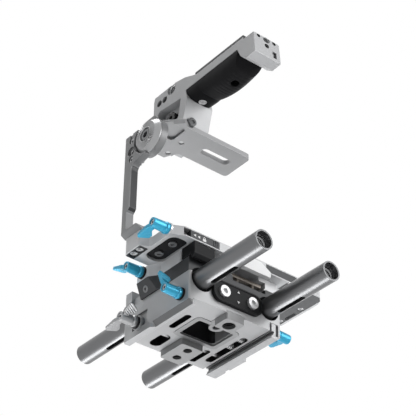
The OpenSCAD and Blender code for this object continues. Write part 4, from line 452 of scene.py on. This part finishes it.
def make_grip():
    points = [grip_point(i, k) for i in range(ALONG + 1) for k in range(ACROSS + 1)]
    row = ACROSS + 1
    faces = []
    for a in range(0, ALONG * row, row):
        faces += [(a + k, a + k + 1, a + row + k + 1, a + row + k) for k in range(ACROSS)]
        faces.append((a, a + row, a + row + ACROSS, a + ACROSS))
    faces += [tuple(range(row)), tuple(range(ALONG * row, (ALONG + 1) * row))]
    grip = add_piece("handle_grip_rubber", points, faces, RUBBER, "handle", smooth=True)
    cut_hole(grip, "screw_cut", SCREW_Y, SCREW_TOP)
    cut_hole(grip, "hole_cut", HOLE_Y, HOLE_TOP)
    build = bmesh.new()
    build.from_mesh(grip.data)
    for edge in build.edges:
        edge.smooth = len(edge.link_faces) == 2 and edge.calc_face_angle(0) < SHARP
    build.to_mesh(grip.data)
    build.free()
    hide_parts("handle_grip")


make_grip()


# Painted marks: two pointers and a padlock on the sliding lock, two pointers on the pad plate
PAINT_SUNK, PAINT_RAISED = -0.04, 0.02
POINTER_LONG, POINTER_HALF = 2.1, 1.15
POINTER_STARTS, LOCK_X, LOCK_Z = (2.4, 6.0), 12, -0.2  # from the sliding lock's left end and middle
LOCK_HALF, LOCK_LOW, LOCK_TOP = 1.4, -1.5, 0.4
SHACKLE_Z, SHACKLE_OUTER, SHACKLE_INNER = 0.9, 1.0, 0.55
OUTLINE_GAP = 0.02  # keeps the outline's way back off its way out
PAD_POINTER_HALF, PAD_POINTER_FOOT, PAD_POINTER_TIP = 1.2, 3.3, 5.1


def flat_mark(name, outline, y, body):
    """Thin plate on a rear face at y, from its outline in X and Z"""
    n = len(outline)
    points = [(x, y + d, z) for d in (PAINT_SUNK, PAINT_RAISED) for x, z in outline]
    faces = [tuple(range(n)), tuple(range(n, 2 * n))]
    faces += [(k, (k + 1) % n, n + (k + 1) % n, n + k) for k in range(n)]
    add_piece(name, points, faces, PAINT, body)


def half_ring(r, steps):
    """Half a circle round the shackle's middle, from x = r over the top to x = -r"""
    turns = [k * math.pi / steps for k in range(steps + 1)]
    return [(r * math.cos(t), SHACKLE_Z + abs(r) * math.sin(t)) for t in turns]


def padlock(x, z):
    """Outline of a closed padlock round a point"""
    outer, inner, top, back = SHACKLE_OUTER, SHACKLE_INNER, LOCK_TOP, LOCK_TOP - OUTLINE_GAP
    outline = [(-LOCK_HALF, LOCK_LOW), (LOCK_HALF, LOCK_LOW), (LOCK_HALF, top), (outer, top),
               *half_ring(outer, 10), (-outer, top), (-inner, top), *half_ring(-inner, 8),
               (inner, top), (-outer, back), (-LOCK_HALF, back)]
    return [(x + u, z + v) for u, v in outline]


def mark_lock_slide():
    low, high = (c * 1000 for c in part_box("lock_slide"))
    z = (low.z + high.z) / 2
    for number, start in enumerate(POINTER_STARTS, 1):
        tip = low.x + start
        foot = tip + POINTER_LONG
        flat_mark("slide_pointer_%d" % number,
                  [(tip, z), (foot, z - POINTER_HALF), (foot, z + POINTER_HALF)],
                  low.y, "card_lock")
    flat_mark("slide_padlock", padlock(low.x + LOCK_X, z + LOCK_Z), low.y, "card_lock")


def mark_pad_plate():
    low, high = (c * 1000 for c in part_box("pad_plate"))
    z = (low.z + high.z) / 2
    for number, way in enumerate((1, -1), 1):
        foot, tip = z + way * PAD_POINTER_FOOT, z + way * PAD_POINTER_TIP
        flat_mark("pad_pointer_%d" % number,
                  [(-PAD_POINTER_HALF, foot), (PAD_POINTER_HALF, foot), (0, tip)],
                  low.y, "base")


mark_lock_slide()
mark_pad_plate()


# Stage in metres and watts: lamps, white surround, and a pale floor that fades into it
FLOOR_HALF, FLOOR_DROP = 3.0, 0.0002
FLOOR_FADE_FROM, FLOOR_FADE_TO = 0.22, 0.62
FLOOR_COLOUR = (0.86, 0.86, 0.86)
SURROUND_LIGHT, SURROUND_SEEN = 0.14, 1.0
LAMP_TARGET = Vector((0, 0.02, 0.1))
LAMPS = (  # name, place, size and power
    ("key", (0.6, -1.2, 0.3), (0.9, 0.9), 15),
    ("under", (0.1, 0.2, -1.3), (0.9, 0.9), 6),
    ("strip", (0.16, 0.85, -0.8), (0.42, 0.7), 8.5),
    ("top", (-0.2, 0.3, 1.4), (0.8, 0.8), 12),
    ("right", (1.3, 0.4, 0.3), (0.6, 0.6), 7),
    ("left", (-1.35, 0.1, -0.2), (0.5, 0.5), 1.8),
)


def make_floor():
    """Floor that is see-through from below, where the photograph's camera is"""
    mesh = bpy.data.meshes.new("floor")
    s = FLOOR_HALF
    mesh.from_pydata([(-s, -s, 0), (s, -s, 0), (s, s, 0), (-s, s, 0)], [], [(0, 1, 2, 3)])
    floor = bpy.data.objects.new("floor", mesh)
    floor.location.z = cad_lo.z - FLOOR_DROP
    scene.collection.objects.link(floor)
    n = Nodes(bpy.data.materials.new("floor_pale"))
    side = n.add("ShaderNodeNewGeometry")
    path = n.add("ShaderNodeLightPath")
    reach = n.add("ShaderNodeVectorMath", operation="LENGTH")
    n.feed(reach.inputs[0], n.coords())
    fade = n.add("ShaderNodeMapRange", interpolation_type="SMOOTHSTEP")
    n.feed_all(fade, From_Min=FLOOR_FADE_FROM, From_Max=FLOOR_FADE_TO,
               Value=reach.outputs["Value"])
    gone = n.math("MAXIMUM", side.outputs["Backfacing"], path.outputs["Is Shadow Ray"])
    gone = n.math("MAXIMUM", gone, path.outputs["Is Glossy Ray"])
    gone = n.math("MAXIMUM", gone, fade.outputs["Result"])
    diffuse = n.add("ShaderNodeBsdfDiffuse")
    n.feed_all(diffuse, Color=FLOOR_COLOUR)
    clear = n.add("ShaderNodeBsdfTransparent")
    n.mix_shader(gone, diffuse.outputs[0], clear.outputs[0])
    mesh.materials.append(n.owner)


def make_world():
    scene.world = bpy.data.worlds.new("studio")
    n = Nodes(scene.world, "ShaderNodeOutputWorld")
    path = n.add("ShaderNodeLightPath")
    seen = n.math("MAXIMUM", path.outputs["Is Camera Ray"], path.outputs["Is Glossy Ray"])
    seen = n.math("MAXIMUM", seen, path.outputs["Is Transmission Ray"])
    whites = []
    for strength in (SURROUND_LIGHT, SURROUND_SEEN):
        white = n.add("ShaderNodeBackground")
        n.feed_all(white, Color=(1, 1, 1), Strength=strength)
        whites.append(white.outputs[0])
    n.mix_shader(seen, *whites)


def soft_box(name, place, size, power):
    data = bpy.data.lights.new(name, "AREA")
    data.shape = "RECTANGLE"
    data.size, data.size_y = size
    data.energy = power
    lamp = bpy.data.objects.new(name, data)
    lamp.location = place
    lamp.rotation_euler = (LAMP_TARGET - Vector(place)).to_track_quat("-Z", "Y").to_euler()
    scene.collection.objects.link(lamp)


make_floor()
make_world()
for lamp in LAMPS:
    soft_box(*lamp)

scene.view_settings.view_transform = "Standard"
